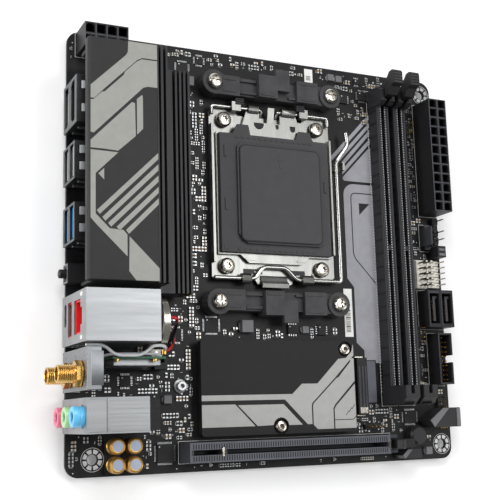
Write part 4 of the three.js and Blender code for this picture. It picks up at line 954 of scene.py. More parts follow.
def battery():
    """Coin cell: crimped rim, flat faces, and its two welded tabs."""
    x0, x1, y0, y1, _, z1 = extent("coin_cell")
    y, z, r = (y0 + y1) / 2, z1 - (y1 - y0) / 2, (y1 - y0) / 2
    a, b = x0 + 0.2, x1 - 0.2
    mesh = Mesh("nickel", "black", "steel")
    mesh.lathe([(0, a + 0.1), (r - 1.9, a + 0.1), (r - 1.5, a), (r - 0.5, a), (r, a + 0.5), (r, b - 0.35),
                (r - 0.3, b), (0, b)], (y, z), "x", 64)
    mesh.lathe([(0, a + 0.15), (r - 1.45, a + 0.15), (r - 1.45, a - 0.02), (r - 1.9, a - 0.02),
                (r - 1.9, a + 0.02), (0, a + 0.02)], (y, z), "x", 64, 0)
    for x in (x0, b - 0.02):
        mesh.box(x, x + 0.22, y - 2.2, y + 2.2, BOARD_TOP + 0.3, z + 3.0, 2)
    mesh.box(x0, x1, y - 3.0, y + 3.0, FOOT_Z, 3.0, 1)
    mesh.place("battery_cell", "screw_nickel", bevel=0.06, replaces=("coin_cell",))


def leads():
    """Aerial and battery leads with their small plugs."""
    red = [(-50.75, -27.6, 15.0), (-46.5, -27.8, 15.2), (-43.9, -28.8, 9.0), (-43.5, -31.2, 4.4),
           (-43.5, -36.6, 3.6), (-45.6, -39.2, 3.2), (-48.8, -39.6, 3.2)]
    mesh = Mesh("red_wire")
    mesh.tube(rounded_route(red, 2.6), 0.62)
    mesh.place("battery_lead_red", "red_wire", replaces=("battery_lead",))
    black = [(x - 0.2, y - 1.5, z - 0.2) for x, y, z in red[1:-1]]
    mesh = Mesh("black_wire", "white", "solder")
    mesh.tube(rounded_route([(-50.9, -30.4, 13.0)] + black + [(-48.8, -41.0, 3.1)], 2.4), 0.62)
    mesh.box(-53.4, -48.6, -41.8, -38.7, FOOT_Z, 4.6, 1)
    mesh.box(-51.4, -50.4, -41.2, -39.2, 4.58, 4.75, 2)
    mesh.place("battery_lead_black", "black_plastic", bevel=0.1)
    aerial = [(-84.4, -38.9, 27.4), (-79.6, -38.9, 27.4), (-77.4, -39.6, 27.4), (-74.6, -42.0, 27.6),
              (-72.4, -42.6, 27.7), (-65.4, -42.6, 27.7), (-62.4, -41.2, 27.4), (-60.2, -39.2, 27.0),
              (-57.0, -39.0, 26.6), (-54.6, -39.4, 25.2), (-54.2, -40.4, 22.6)]
    mesh = Mesh("grey_wire", "gold")
    mesh.tube(rounded_route(aerial, 1.4), 0.57)
    mesh.rod(1.1, -41.9, -40.2, (-54.2, 22.0), "y", 20, 1)
    mesh.place("aerial_lead", "white_wire", replaces=("antenna_lead",))
    mesh = Mesh("grey_wire")
    mesh.tube(rounded_route([(-82.4, -48.8, 12.0), (-80.0, -47.4, 13.5), (-78.6, -44.9, 18.0),
                             (-77.0, -42.3, 24.0),
                             (-72.0, -41.9, 25.0), (-60.0, -41.9, 25.0), (-57.0, -42.2, 24.6)], 2.0), 0.5)
    mesh.place("aerial_lead_second", "white_wire")


def radio_card():
    """Seam and embossed lid of the shield can, edge fingers and small parts on the card."""
    mesh = Mesh("shell", "gold", "epoxy", "solder")
    mesh.box(-73.4, -56.2, -45.86, -45.68, 8.0, 23.5, 0)
    mesh.box(-72.6, -57.0, -46.0, -45.84, 8.8, 22.7, 0, 0.2)
    for z in (7.9, 23.35):
        mesh.box(-73.5, -56.1, -45.72, -43.72, z, z + 0.25, 0)
    for x in (-73.55, -56.3):
        mesh.box(x, x + 0.25, -45.72, -43.72, 7.9, 23.6, 0)
    for i in range(30):
        x = -74.0 + i * 0.62
        mesh.box(x, x + 0.38, -42.92, -42.86, 3.6, 6.4, 1)
    for i, x in enumerate((-72.6, -69.0, -66.4, -63.0, -59.6)):
        mesh.box(x, x + 1.8, -42.92, -42.3, 10.0 + 2.2 * (i % 3), 11.4 + 2.2 * (i % 3), 2)
    for x in (-72.8, -58.8):
        mesh.rod(1.0, -44.6, -43.6, (x, 25.2), "y", 20, 1)
    x, y = -40.5, -52.6
    mesh.lathe([(0, BOARD_TOP), (2.6, BOARD_TOP), (2.6, 2.2), (1.9, 2.4), (1.9, 4.2), (1.7, 4.4),
                (0.9, 4.4), (0.9, 2.6), (0, 2.6)], (x, y), "z", 36, 3)
    mesh.place("radio_shield", "port_shell", bevel=0.05, segments=1)


# ------------------------------------------------------------------ processor socket

def screw(node, name, centre, top, r, drive, slot="screw_nickel"):
    """Head and shank with a cut recess: a cross, or a six-pointed star."""
    x, y = centre
    bottom = extent(node)[4]
    mesh = Mesh("nickel")
    shank = min(r * 0.52, 1.8)
    mesh.lathe([(0, bottom), (shank, bottom), (shank, top - 2.1), (r, top - 2.1), (r, top - 1.1),
                (r * 0.96, top - 0.8), (r * 0.78, top - 0.2), (r * 0.5, top), (0, top)], (x, y), "z", 40)
    head = mesh.place(name, slot, replaces=(node,))
    tool = Mesh("nickel")
    if drive == "cross":
        wide, deep = r * 0.62, r * 0.14
        tool.box(x - wide, x + wide, y - deep, y + deep, top - 1.1, top + 1, 0)
        tool.box(x - deep, x + deep, y - wide, y + wide, top - 1.0, top + 1, 0)
        tool.lathe([(0, top - 1.5), (r * 0.1, top - 1.4), (r * 0.3, top + 0.5), (0, top + 0.5)], (x, y),
                   "z", 16)
    elif drive == "well":
        tool.rod(r * 0.42, top - 1.9, top + 1, (x, y), "z", 24)
    else:
        star = []
        for k in range(36):
            a = 2 * math.pi * k / 36
            reach = r * (0.40 + 0.08 * math.cos(6 * a))
            star.append((x + reach * math.cos(a), y + reach * math.sin(a)))
        tool.prism(star, top - 1.2, top + 1)
    cutter = tool.place(name + "_tool", slot)
    hole = head.modifiers.new("recess", "BOOLEAN")
    hole.operation, hole.solver, hole.object = "DIFFERENCE", "EXACT", cutter
    hole.use_self = drive == "cross"
    graph = bpy.context.evaluated_depsgraph_get()
    cut = bpy.data.meshes.new_from_object(head.evaluated_get(graph))
    head.modifiers.clear()
    head.data = cut
    bpy.data.objects.remove(cutter)
    cut.shade_smooth()
    cut.set_sharp_from_angle(angle=math.radians(30))


def screws():
    """The ten visible screws."""
    for i in range(1, 5):
        for kind, r, drive in (("bracket", 3.1, "cross"), ("socket", 3.2, "star")):
            node = f"{kind}_screw_{i}"
            x, y, _ = middle(node)
            screw(node, f"{kind}_screw_head_{i}", (x, y), extent(node)[5], r, drive)
    for i in (1, 2):
        node = f"m2_screw_{i}"
        x, y, _ = middle(node)
        screw(node, f"heatsink_screw_head_{i}", (x, y), extent(node)[5], 2.6, "well")


def wires():
    """Load lever and the two hinge wires as smooth round bars."""
    y, z = -10.4, 5.4    # axis of the lever
    mesh = Mesh("wire")
    mesh.tube(rounded_route([
        (CPU_X - 27.2, y, z), (CPU_X - 9.8, y, z), (CPU_X - 6.0, y + 4.9, z), (CPU_X + 4.4, y + 4.9, z),
        (CPU_X + 9.4, y, z), (CPU_X + 30.4, y, z), (CPU_X + 30.4, y + 51.5, z),
        (CPU_X + 31.0, y + 53.0, z + 0.4),
        (CPU_X + 36.0, y + 59.6, z + 1.0), (CPU_X + 35.2, y + 65.0, z + 1.2)], 1.9, 7), LEVER_RADIUS,
        sides=20)
    mesh.place("lever_wire", "plated_steel", "load_lever", replaces=("load_lever",))
    y, z = 60.6, 5.2    # axis of the load plate
    for name, node, inner, outer in (("hinge_pin_left", "hinge_wire_left", -4.4, -27.0),
                                     ("hinge_pin_right", "hinge_wire_right", 2.8, 27.0)):
        mesh = Mesh("wire")
        mesh.tube(rounded_route([(CPU_X + inner, y - 2.2, z - 1.6), (CPU_X + inner, y, z),
                                 (CPU_X + outer, y, z),
                                 (CPU_X + outer, y - 3.6, z - 0.1)], 1.3, 7), HINGE_RADIUS, sides=20)
        mesh.place(name, "plated_steel", replaces=(node,))


PLATE_TOP = 5.4         # top face of the load plate
LEVER_RADIUS = 0.9
HINGE_RADIUS = 0.75


def socket_details():
    """Contact field under the cap, moulded frame round it, and stamped ribs of the steel parts."""
    x0, x1, y0, y1 = extent("socket_housing")[:4]
    mesh = Mesh("gold")
    columns, rows = 38, 40
    for i in range(columns):
        for j in range(rows):
            x = x0 + 3.0 + i * (x1 - x0 - 6.0) / (columns - 1)
            y = y0 + 3.0 + j * (y1 - y0 - 6.0) / (rows - 1)
            if abs(x - CPU_X) < 5.4 and abs(y - CPU_Y) < 5.4:
                continue
            mesh.prism([(x - 0.24, 2.88), (x + 0.2, 3.24), (x + 0.26, 3.2), (x + 0.05, 2.88)],
                       y - 0.16, y + 0.16, 0, "y")
    mesh.place("socket_contacts", "gold_plate")
    mesh = Mesh("steel", "dark_steel")
    for x in (-19.4, -8.4, 7.6, 18.0):
        mesh.lathe([(0, 3.55), (0.8, 3.55), (0.8, 3.85), (0.5, 4.0), (0, 4.0)], (CPU_X + x, CPU_Y - 32.4),
                   "z", 24)
    for x, wide in ((-14.0, 8.6), (6.2, 8.0)):
        mesh.box(CPU_X + x, CPU_X + x + wide, CPU_Y - 33.0, CPU_Y - 31.0, 3.58, 3.62, 1)
    mesh.place("frame_details", "plated_steel", bevel=0.05, segments=1)
    mesh = Mesh("steel", "black")
    # Black patches stand in for the load plate's three holes: painted shade of what lies below them.
    for x, wide, low in ((-5.8, 2.3, 27.6), (2.7, 0.75, 28.4), (10.0, 1.3, 27.8)):
        slot = arc(CPU_X + x, CPU_Y + low + wide, wide, 180, 360, 10)
        slot += [(CPU_X + x + wide, CPU_Y + 30.4), (CPU_X + x - wide, CPU_Y + 30.4)]
        mesh.prism(slot, PLATE_TOP - 0.02, PLATE_TOP + 0.03, 1)
    for x in (-23.6, 22.8):
        mesh.box(CPU_X + x, CPU_X + x + 1.4, CPU_Y - 21.0, CPU_Y + 20.0, PLATE_TOP - 0.05, PLATE_TOP + 0.22,
                 0, 0.2)
    for x in (-13.6, 9.6):
        mesh.box(CPU_X + x, CPU_X + x + 4.2, CPU_Y - 27.8, CPU_Y - 27.0, PLATE_TOP - 0.05, PLATE_TOP + 0.25,
                 0, 0.15)
    mesh.place("plate_ribs", "plated_steel", "load_plate", bevel=0.08, segments=1)


def cap_details():
    """Raised border with black walls of painted shade, finger ribs, arrow and clip tabs of the dust cap."""
    top = extent("socket_cap")[5]
    mesh = Mesh("cap", "black")
    outer = rounded_rect(CPU_X - 16.6, CPU_X + 20.4, CPU_Y - 20.6, CPU_Y + 19.4, 2.4)
    panel = rounded_rect(CPU_X - 16.2, CPU_X + 20.0, CPU_Y - 20.2, CPU_Y + 19.0, 2.1)
    # The border is black under the grey panel, so its walls and thin rim carry painted shade.
    mesh.prism(outer, top - 0.02, top + 0.62, 1)
    mesh.prism(panel, top + 0.6, top + 0.72, 0)
    top += 0.72
    for y in (CPU_Y - 24.2, CPU_Y + 22.4):
        for i in range(14):
            x = CPU_X - 17.5 + i * 2.6
            mesh.box(x, x + 1.5, y, y + 0.7, top - 1.84, top - 1.58, 0, 0.1)
    mesh.prism([(CPU_X + 0.2, CPU_Y + 13.6), (CPU_X + 3.4, CPU_Y + 13.6), (CPU_X + 1.8, CPU_Y + 16.4)],
               top - 0.02, top + 0.14)
    mesh.box(CPU_X + 1.3, CPU_X + 2.3, CPU_Y + 10.6, CPU_Y + 13.6, top - 0.02, top + 0.14)
    for x, y, w in ((-22.8, 14.0, 1.2), (-22.8, -8.0, 1.2), (22.9, 2.0, 1.2)):
        mesh.box(CPU_X + x, CPU_X + x + w, CPU_Y + y, CPU_Y + y + 5.0, top - 1.84, top - 1.42, 0, 0.15)
    mesh.prism([(CPU_X - 23.6, CPU_Y - 24.0), (CPU_X - 21.0, CPU_Y - 24.0), (CPU_X - 23.6, CPU_Y - 21.4)],
               top - 1.84, top - 1.67)
    mesh.place("cap_details", "black_plastic", "socket_cap", bevel=0.08, segments=1)


# Ribs of a cooler bracket: x range, y range away from the socket, and z range.
BRACKET_RIBS = [
    (-23.4, -17.4, 1.4, 2.4, 7.95, 8.25), (-23.4, -17.4, -3.6, -2.6, 7.95, 8.25),
    (11.4, 19.6, -3.8, -2.9, 8.75, 9.0), (11.4, 19.6, 3.1, 4.0, 8.75, 9.0),
    (-7.0, -0.6, -3.8, -2.8, 9.55, 9.85), (-15.4, -7.8, -3.6, -2.6, 6.55, 7.6),
    (-15.4, -7.8, 1.6, 2.6, 6.55, 7.6), (7.0, 10.4, -3.6, -2.6, 6.55, 7.6),
]


def bracket_ribs():
    """Ribs, pads and grooves moulded on both cooler brackets."""
    for node, name, side in (("cooler_bracket_top", "bracket_ribs_top", 1),
                             ("cooler_bracket_bottom", "bracket_ribs_bottom", -1)):
        cx = middle(node)[0]
        y = CPU_Y + side * 45
        mesh = Mesh("bracket")
        for x0, x1, a, b, z0, z1 in BRACKET_RIBS:
            mesh.box(cx + x0, cx + x1, y + side * a, y + side * b, z0, z1, 0, 0.12)
        for x in (cx - 27, cx + 27):
            mesh.ring_plate(circle(x, y, 4.9, 40), circle(x, y, 3.6, 40), 7.98, 8.12)
        mesh.place(name, "black_plastic", bevel=0.12, segments=1)


def spring_clips():
    """Ribbed black clips that hold the hinge wires down."""
    mesh = Mesh("dark_steel")
    for cx in (-14.4, 13.8):
        mesh.box(cx - 2.2, cx + 2.2, 61.2, 64.4, 6.2, 7.3, 0, 0.3)
        for i in range(3):
            mesh.box(cx - 2.0, cx + 2.0, 61.5 + i * 1.0, 62.0 + i * 1.0, 7.25, 7.7, 0, 0.15)
    mesh.place("spring_clips", "black_plastic", bevel=0.1, segments=1)


# ------------------------------------------------------------------ slots and connectors

MEMORY_RIM = 8.2        # height of the slot's rim between its two ends
MEMORY_PINS = 116       # in each of its two rows
GRAPHICS_RIM = 12.4
GRAPHICS_PINS = 83


def memory_details():
    """Contact rows, key and side ribs of both memory slots, and ribbed thumb pads on the latches."""
    mesh = Mesh("solder", "pale_black", "black")
    for i in (1, 2):
        x0, x1 = extent(f"memory_slot_{i}")[:2]
        x = (x0 + x1) / 2
        top = MEMORY_RIM
        for k in range(MEMORY_PINS):
            y = -56.6 + k * (127.0 / (MEMORY_PINS - 1))
            for s in (-1, 1):
                mesh.box(x + s * 0.95, x + s * 1.3, y - 0.2, y + 0.2, top - 0.35, top + 0.03, 0)
        for s in (-1, 1):
            mesh.box(x + s * 2.1, x + s * 2.4, -57.5, 68.0, top - 0.02, top + 0.3, 1, 0.08)
            side = x + s * ((x1 - x0) / 2 - 0.3)
            for k in range(22):
                y = -55.5 + k * 5.8
                mesh.box(side, side + s * 0.16, y, y + 0.7, 2.2, top - 1.0, 2)
        mesh.box(x - 0.8, x + 0.8, 4.0, 6.2, 3.5, top - 0.1, 2)
        mesh.box(x0 + 0.6, x1 - 0.6, -61.85, -61.65, 4.0, 17.0, 2, 0.2)
    mesh.place("memory_contacts", "black_plastic")
    for i in (1, 2):
        x0, x1, _, y1, _, top = extent(f"memory_latch_{i}")
        grip = Mesh("bracket")
        for k in range(4):
            y = y1 - 6.0 + k * 1.25
            grip.box(x0 + 0.3, x1 - 0.3, y, y + 0.65, top - 0.05, top + 0.25, 0, 0.1)
        grip.box(x0 + 0.3, x1 - 0.3, y1 - 0.25, y1 + 0.15, top - 1.9, top - 1.3, 0, 0.08)
        grip.place(f"latch_grip_{i}", "black_plastic", f"memory_latch_{i}", bevel=0.08, segments=1)


def power_details():
    """Contacts down in the wells of the two power connectors, with shaped mouths round every other one."""
    mesh = Mesh("dark_steel", "slot_grey", "black")
    for node, columns, rows, well in (("atx_connector", 2, 12, 3.3), ("eps_connector", 4, 2, 3.4)):
        x0, x1, y0, y1, _, top = extent(node)
        if node == "atx_connector":
            x1 -= 0.9
        else:
            y1 -= 0.4
        for i in range(columns):
            for j in range(rows):
                x = x0 + (i + 0.5) * (x1 - x0) / columns
                y = y0 + (j + 0.5) * (y1 - y0) / rows
                mesh.box(x - 0.5, x + 0.5, y - 0.5, y + 0.5, top - 9.6, top - 4.4, 0, 0.12)
                if (i + j) % 2:
                    for sx, sy in ((1, 1), (-1, 1)):
                        cx, cy = x + sx * well / 2, y + sy * well / 2
                        mesh.prism([(cx, cy), (cx - sx * 0.8, cy), (cx, cy - sy * 0.8)], top - 9.4,
                                   top - 0.01, 2)
        rim = [[(x0 + d, y0 + d), (x1 - d, y0 + d), (x1 - d, y1 - d), (x0 + d, y1 - d)] for d in (0.02,
                                                                                                  0.22)]
        mesh.ring_plate(rim[0], rim[1], top - 0.02, top + 0.1, 1)
        for i in range(1, columns):
            x = x0 + i * (x1 - x0) / columns
            mesh.box(x - 0.11, x + 0.11, y0 + 0.2, y1 - 0.2, top - 0.02, top + 0.1, 1)
        for j in range(1, rows):
            y = y0 + j * (y1 - y0) / rows
            mesh.box(x0 + 0.2, x1 - 0.2, y - 0.11, y + 0.11, top - 0.02, top + 0.1, 1)
    mesh.place("power_contacts", "dark_steel", bevel=0.04, segments=1)


def graphics_details():
    """Rows of contact openings beside the card groove, a pale rim and two retention bumps."""
    x0, x1, y0, y1 = extent("pcie_slot")[:4]
    x1 -= 6.2
    top = GRAPHICS_RIM
    y = (y0 + y1) / 2
    mesh = Mesh("slot_grey", "black", "nickel")
    pitch = (x1 - x0 - 3.4) / (GRAPHICS_PINS - 1)
    for s in (-1, 1):
        a, b = sorted((y + s * 1.0, y + s * 3.3))
        mesh.box(x0 + 0.5, x1 - 0.3, a, b, top - 0.02, top + 0.04, 0)
        for k in range(GRAPHICS_PINS):
            x = x0 + 1.5 + k * pitch
            mesh.box(x - 0.26, x + 0.26, a + 0.2, b - 0.2, top + 0.02, top + 0.07, 1)
        mesh.box(x0 + 0.1, x1 - 0.1, y + s * 3.3, y + s * 3.72, top - 0.02, top + 0.2, 0, 0.1)
    mesh.box(x0 + 0.1, x0 + 0.6, y - 3.5, y + 3.5, top - 0.02, top + 0.2, 0, 0.1)
    for x in (x0 + 1.5 + 11.5 * pitch, x1 - 0.4):
        mesh.box(x - 0.45, x + 0.45, y - 1.9, y + 1.9, top - 0.3, top + 0.4, 2, 0.25)
    mesh.place("graphics_contacts", "black_plastic", bevel=0.05, segments=1)


def storage_connector():
    """Contact row of the flat card connector and its metal hold-down."""
    x0, x1, y0, y1, _, top = extent("m2_connector")
    mesh = Mesh("gold", "pale_black", "nickel")
    for k in range(66):
        y = y0 + 1.4 + k * (y1 - y0 - 2.8) / 65
        mesh.box(x0 - 0.02, x0 + 1.4, y - 0.1, y + 0.1, 4.38, 4.44, 0)
        mesh.box(x1 - 0.05, x1 + 0.75, y - 0.1, y + 0.1, BOARD_TOP, BOARD_TOP + 0.3, 0)
    for a, b in ((0.5, 1.5), (2.2, 3.1), (3.6, 4.4)):
        mesh.box(x0 + a, x0 + b, y0 + 0.6, y1 - 3.4, top - 0.02, top + 0.2, 1, 0.08)
    mesh.box(x0 + 0.6, x0 + 4.4, y0 + 0.5, y0 + 3.0, top - 0.02, top + 0.25, 2, 0.1)
    for y in (y0 - 0.6, y1 + 0.1):
        mesh.box(x0 + 0.6, x1 - 0.6, y, y + 0.5, BOARD_TOP, 3.4, 2)
    mesh.place("storage_contacts", "gold_plate", bevel=0.03, segments=1)


HEADER_PITCH = 2.48


def pins(mesh, x, y, low, high, half=0.32, look=0):
    """One square header pin with a pointed end."""
    mesh.box(x - half, x + half, y - half, y + half, low, high - 0.5, look)
    mesh.box(x - half, x + half, y - half, y + half, high - 0.5, high, look, half * 0.8)


def side_connectors():
    """Pins and trim of the headers and drive ports along the right-hand edge."""
    mesh = Mesh("gold", "pale_black", "solder")
    x0, _, y0, y1, _, top = extent("usb3_header")
    x1 = 83.1
    for i in range(10):
        for x in (78.5, 80.5):
            if not (i == 9 and x == 80.5):
                pins(mesh, x, y0 + 2.0 + i * 2.0, 2.6, 8.2, 0.25)
    mesh.box(77.2, 81.8, y0 + 1.6, y1 - 1.6, 2.6, 3.4, 1)
    mesh.box(x0 + 0.05, x0 + 0.4, y0 + 0.3, y1 - 0.3, top - 0.02, top + 0.15, 1)
    for y in (y0 + 0.05, y1 - 0.4):
        mesh.box(x0 + 0.3, x1 - 0.3, y, y + 0.35, top - 0.02, top + 0.15, 1)
    _, _, y0, y1, _, top = extent("sata_ports")
    for x in (73.2, 79.6):
        for k in range(7):
            mesh.box(x + 1.55, x + 1.72, y0 + 3.2 + k * 1.27, y0 + 3.8 + k * 1.27, 3.0, 8.0, 0)
        mesh.box(x - 0.75, x - 0.25, y0 + 0.5, y1 - 0.5, top - 0.02, top + 0.22, 1, 0.1)
        mesh.box(x - 0.2, x + 5.0, y1 - 1.4, y1 - 0.5, top - 0.02, top + 0.22, 1, 0.1)
        mesh.box(x + 1.7, x + 2.9, y0 + 2.6, y1 - 3.2, 8.38, 8.5, 1)
    x0, _, y0, y1 = extent("fan_header")[:4]
    mesh.box(x0 + 0.1, x0 + 0.9, y0 + 1.6, y1 - 1.8, 9.6, 9.85, 1, 0.1)
    for k in range(9):
        for x in (68.6, 70.2):
            mesh.box(x - 0.35, x + 0.35, -56.0 + k * 1.1, -55.5 + k * 1.1, BOARD_TOP, BOARD_TOP + 0.3, 2)
    mesh.place("side_pins", "gold_plate", bevel=0.03, segments=1)
    mesh = Mesh("nickel", "white")
    x0, _, y0, _, _, top = extent("front_panel_header")
    for i in range(2):
        for j in range(5):
            x, y = x0 + (i + 0.5) * HEADER_PITCH, y0 + (j + 0.5) * HEADER_PITCH
            pins(mesh, x, y, 3.9, top)
            mesh.box(x - 1.0, x + 1.0, y - 1.0, y + 1.0, 4.05, 4.35, 1, 0.3)
    _, _, y0, _, _, top = extent("fan_header")
    for j in range(4):
        pins(mesh, 77.4, y0 + (j + 0.5) * 2.8, 4.2, top)
    mesh.place("header_pins", "screw_nickel", bevel=0.03, segments=1)


def small_headers():
    """Low pin headers, the sealed box connector at the corner and the gold pin rows."""
    mesh = Mesh("black", "gold", "satin_black", "ferrite", "white", "nickel")
    for x0, y0, columns, rows in ((40.6, -71.4, 4, 1), (77.9, -63.9, 1, 3), (69.4, -36.2, 1, 4),
                                  (69.6, 58.0, 1, 3)):
        pitch = 2.0
        for i in range(columns):
            for j in range(rows):
                x, y = x0 + (i + 0.5) * pitch, y0 + (j + 0.5) * pitch
                mesh.prism(rounded_rect(x - 0.98, x + 0.98, y - 0.98, y + 0.98, 0.35, 2),
                           FOOT_Z, BOARD_TOP + 2.0)
                pins(mesh, x, y, BOARD_TOP + 1.9, BOARD_TOP + 6.4, 0.26, 1)
    mesh.prism([(69.2, -68.6), (76.2, -63.5), (84.9, -63.5), (84.9, -71.6), (71.6, -71.6)], FOOT_Z, 9.4, 2)
    # Grey strip along the chamfered corner of the box top: painted highlight.
    mesh.prism([(69.3, -68.6), (76.2, -63.6), (79.4, -63.6), (71.4, -71.5)], 9.38, 9.6, 3)
    mesh.box(83.0, 84.9, -71.4, -63.7, 9.38, 9.8, 3, 0.3)
    mesh.prism([(55.0, -82.6), (57.8, -80.1), (64.6, -80.1), (64.6, -83.9), (56.4, -83.9)], FOOT_Z, 8.4, 2)
    # Grey strip along the chamfered corner of the box top: painted highlight.
    mesh.prism([(55.1, -82.6), (57.8, -80.2), (60.2, -80.2), (56.5, -83.8)], 8.38, 8.6, 3)
    mesh.lathe([(0, FOOT_Z), (4.0, FOOT_Z), (4.0, 5.4), (3.2, 6.4), (0, 6.4)], (65.6, -74.6), "z",
               40, 2)
    TAKEN.extend([(68.4, 84.9, -72.4, -62.8), (54.2, 65.4, -84.4, -78.6), (60.8, 70.2, -79.6, -70.0)])
    for j in range(5):
        y = -10.2 + j * HEADER_PITCH
        mesh.box(76.3, 82.6, y - 1.1, y + 1.1, FOOT_Z, 3.8, 4, 0.3)
        pins(mesh, 81.2, y, 3.8, 10.2, 0.26, 5)
        pins(mesh, 78.0, y, 3.8, 6.4, 0.26, 5)
    mesh.box(79.3, 83.6, 2.0, 7.0, FOOT_Z, 8.6, 0)
    for y in (3.2, 5.4):
        mesh.box(80.0, 83.0, y - 0.5, y + 0.5, 8.58, 8.7, 3)
    for y in (10.2, 13.6, 18.8):
        mesh.box(80.6, 83.4, y - 1.3, y + 1.3, FOOT_Z, 4.2, 0)
        pins(mesh, 82.2, y, 4.2, 10.2, 0.26, 5)
    TAKEN.extend([(76.0, 84.8, -12.0, 1.4), (79.0, 84.0, 1.6, 20.4)])
    for i in range(4):
        mesh.box(80.0 + i * 1.0, 80.4 + i * 1.0, -72.2, -71.55, BOARD_TOP, BOARD_TOP + 0.5, 1)
    mesh.place("small_headers", "black_plastic", bevel=0.08, segments=1)


# ------------------------------------------------------------------ underside

def solder_joints():
    """Domed joints and cut leads under every through-hole part."""
    mesh = Mesh("solder")
    # each row of joints: first x and y, pitch in x and y, columns, rows, radius
    grids = [(77.9, 23.8, 4.6, 4.28, 2, 12, 0.95), (-79.2, 77.6, 4.3, 4.7, 4, 2, 0.95),
             (-39.2, -79.6, 2.0, 4.0, 42, 1, 0.5), (-38.2, -75.6, 2.0, 4.0, 42, 1, 0.5),
             (71.8, -10.4, HEADER_PITCH, HEADER_PITCH, 2, 5, 0.6), (77.4, 7.2, 1.0, 2.8, 1, 4, 0.65),
             (78.5, -51.6, 2.0, 2.0, 2, 10, 0.55), (41.6, -70.4, 2.0, 2.0, 4, 1, 0.5)]
    grids += [(-82.5, y - 5.0, 2.6, 2.5, 5, 4, 0.5) for y in (-30.5, 6.2, 29.2, 46.0, 56.0, -60.0, -66.0)]
    spots = [(x + i * dx, y + j * dy, r) for x, y, dx, dy, columns, rows, r in grids
             for i in range(columns) for j in range(rows)]
    for x in (54.5, 63.3):
        for y in (-59.6, -20.0, 24.0, 70.0):
            spots.append((x, y, 0.9))
    for x, y, r in spots:
        mesh.lathe([(0, 0.02), (r, 0.02), (r, -0.12), (r * 0.72, -0.42), (r * 0.4, -0.75),
                    (r * 0.34, -1.35), (0, -1.4)], (x, y), "z", 12)
    mesh.place("solder_joints", "port_shell")


def underside_parts():
    """Small parts and printed marks on the back of the board."""
    rng = random.Random(93)
    mesh = Mesh("solder", "resistor", "ceramic", "silk", "epoxy")
    bx0, bx1, by0, by1 = extent("cooler_backplate")[:4]
    for _ in range(UNDERSIDE_TRIES):
        x, y = rng.uniform(-78, 72), rng.uniform(-70, 78)
        if (bx0 - 2 < x < bx1 + 2 and by0 - 2 < y < by1 + 2) or x < -66 or (x > 50 and rng.random() < 0.5):
            continue
        wide, deep = rng.choice(((0.9, 0.45), (0.45, 0.9)))
        mesh.box(x - wide, x + wide, y - deep, y + deep, -0.55, -0.01, rng.choice((1, 1, 2)))
        a, b = (wide, 0) if wide > deep else (0, deep)
        for s in (-1, 1):
            mesh.box(x + s * a - 0.3, x + s * a + 0.3, y + s * b - 0.3, y + s * b + 0.3, -0.45, 0.0, 0)
        if rng.random() < 0.5:
            mesh.box(x - 0.6, x + 0.6, y + deep + 0.5, y + deep + 0.62, -0.03, 0.01, 3)
    for i in range(6):
        mesh.box(-40.0 + i * 12.0, -36.0 + i * 12.0, -66.0, -62.0, -0.9, -0.02, 4, 0.1)
    mesh.place("underside_parts", "port_shell")
    mesh = Mesh("dark_steel")
    cx, cy = middle("cooler_backplate")[:2]
    low = extent("cooler_backplate")[4]
    for sx in (-1, 1):
        for sy in (-1, 1):
            for dx, dy, r in ((27, 45, 3.4), (21.1, 30.3, 2.6)):
                x, y = cx + sx * dx - (0.5 if dx < 25 else 0), cy + sy * dy
                mesh.ring_plate(circle(x, y, r, 32), circle(x, y, r - 0.9, 32), low + 0.02, low + 0.04, 0)
    for x in (-22.5, 22.5):
        mesh.box(cx + x - 1.0, cx + x + 1.0, cy - 20, cy + 20, low, low + 0.2, 0, 0.3)
    mesh.place("backplate_details", "dark_steel", bevel=0.05, segments=1)


# ------------------------------------------------------------------ studio

CAMERA_PLACE = Vector((-0.1715, -0.0646, 0.3447))    # from the centre of the board, in metres
CAMERA_TURN = (-25.34, 9.95, -1.67)                  # about Y, then X, then Z, in degrees
CAMERA_LENS = 68.05


def camera():
    """The camera of the photograph."""
    data = bpy.data.cameras.new("camera")
    data.lens, data.sensor_width = CAMERA_LENS, 36
    data.clip_start, data.clip_end = 0.01, 20
    piece = bpy.data.objects.new("camera", data)
    bpy.context.scene.collection.objects.link(piece)
    ay, ax, az = (math.radians(a) for a in CAMERA_TURN)
    turn = Matrix.Rotation(ay, 4, "Y") @ Matrix.Rotation(ax, 4, "X") @ Matrix.Rotation(az, 4, "Z")
    piece.matrix_world = Matrix.Translation(ORIGIN + CAMERA_PLACE) @ turn
    bpy.context.scene.camera = piece


def softbox(name, place, size, power):
    """White area light, aimed at the middle of the board."""
    data = bpy.data.lights.new(name, "AREA")
    data.shape, data.size, data.size_y = "RECTANGLE", size[0], size[1]
    data.energy = power
    piece = bpy.data.objects.new(name, data)
    bpy.context.scene.collection.objects.link(piece)
    piece.location = Vector(place)
    piece.rotation_mode = "QUATERNION"
    piece.rotation_quaternion = (-Vector(place)).to_track_quat("-Z", "Y")


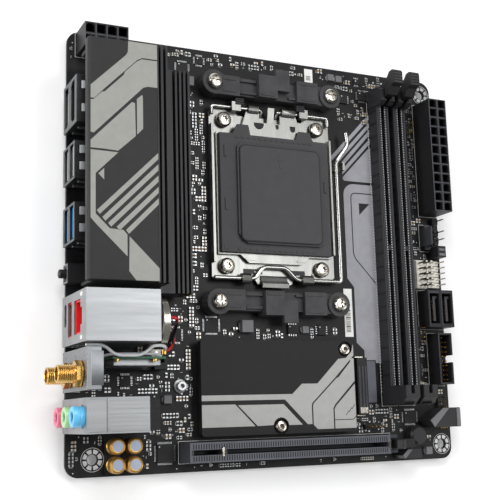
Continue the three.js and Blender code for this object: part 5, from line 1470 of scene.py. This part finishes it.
def studio():
    """White floor, white world and five soft lights."""
    n = Nodes("studio_floor")
    cloud = n.noise(n.coordinates(), 3.0, 2.0)
    n.link(n.ramp(cloud, (0.955, 0.955, 0.96, 1), (0.975, 0.975, 0.975, 1)), n.shader.inputs["Base Color"])
    n.shader.inputs["Roughness"].default_value = 0.8
    n.shader.inputs["Emission Color"].default_value = (1, 1, 1, 1)
    n.shader.inputs["Emission Strength"].default_value = 0.13
    size = 3.0
    data = bpy.data.meshes.new("studio_floor")
    data.from_pydata([(-size, -size, 0), (size, -size, 0), (size, size, 0), (-size, size, 0)], [],
                     [(0, 1, 2, 3)])
    data.materials.append(n.material)
    floor = bpy.data.objects.new("studio_floor", data)
    bpy.context.scene.collection.objects.link(floor)
    world = bpy.data.worlds.new("studio_world")
    world.use_nodes = True
    world.node_tree.nodes["Background"].inputs["Color"].default_value = (1, 1, 1, 1)
    world.node_tree.nodes["Background"].inputs["Strength"].default_value = 0.24
    bpy.context.scene.world = world
    bpy.context.scene.view_settings.view_transform = "Standard"
    softbox("top_light", (0.38, 0.20, 1.0), (0.5, 0.4), 3.4)
    softbox("key_light", (-0.35, 0.75, 0.85), (0.6, 0.6), 7.0)
    softbox("fill_light", (-0.9, -0.7, 0.45), (0.6, 0.6), 2.5)
    softbox("rim_light", (0.9, -0.3, 0.5), (0.4, 0.8), 2.5)
    softbox("port_light", (-1.0, 0.05, 0.36), (0.5, 0.4), 5.5)


dress_frame()
mount_pads()
panel_print()
labels()
chips()
chokes()
small_headers()
small_parts()
outlines()
shroud_print()
heatsink_print()
heatsink_pads()
type_a_tongues("usb2_tongues", "black_plastic", "usb2_stack", "port_pale")
type_a_tongues("usb3_tongues", "blue_plastic", "usb3_stack", "port_blue")
display_tongues()
network_inside()
shell_springs()
button_trim()
antenna_connector("antenna_connector_lower", "antenna_barrel_lower")
antenna_connector("antenna_connector_upper", "antenna_barrel_upper")
audio_jack("mic_jack", "jack_sleeve_low", "pink", "pink_plastic")
audio_jack("line_out_jack", "jack_sleeve_middle", "green", "green_plastic")
audio_jack("line_in_jack", "jack_sleeve_high", "blue", "blue_plastic")
audio_cover_ribs()
bracket_details()
audio_capacitors()
battery()
leads()
radio_card()
screws()
wires()
socket_details()
cap_details()
bracket_ribs()
spring_clips()
memory_details()
power_details()
graphics_details()
storage_connector()
side_connectors()
solder_joints()
underside_parts()
studio()
camera()
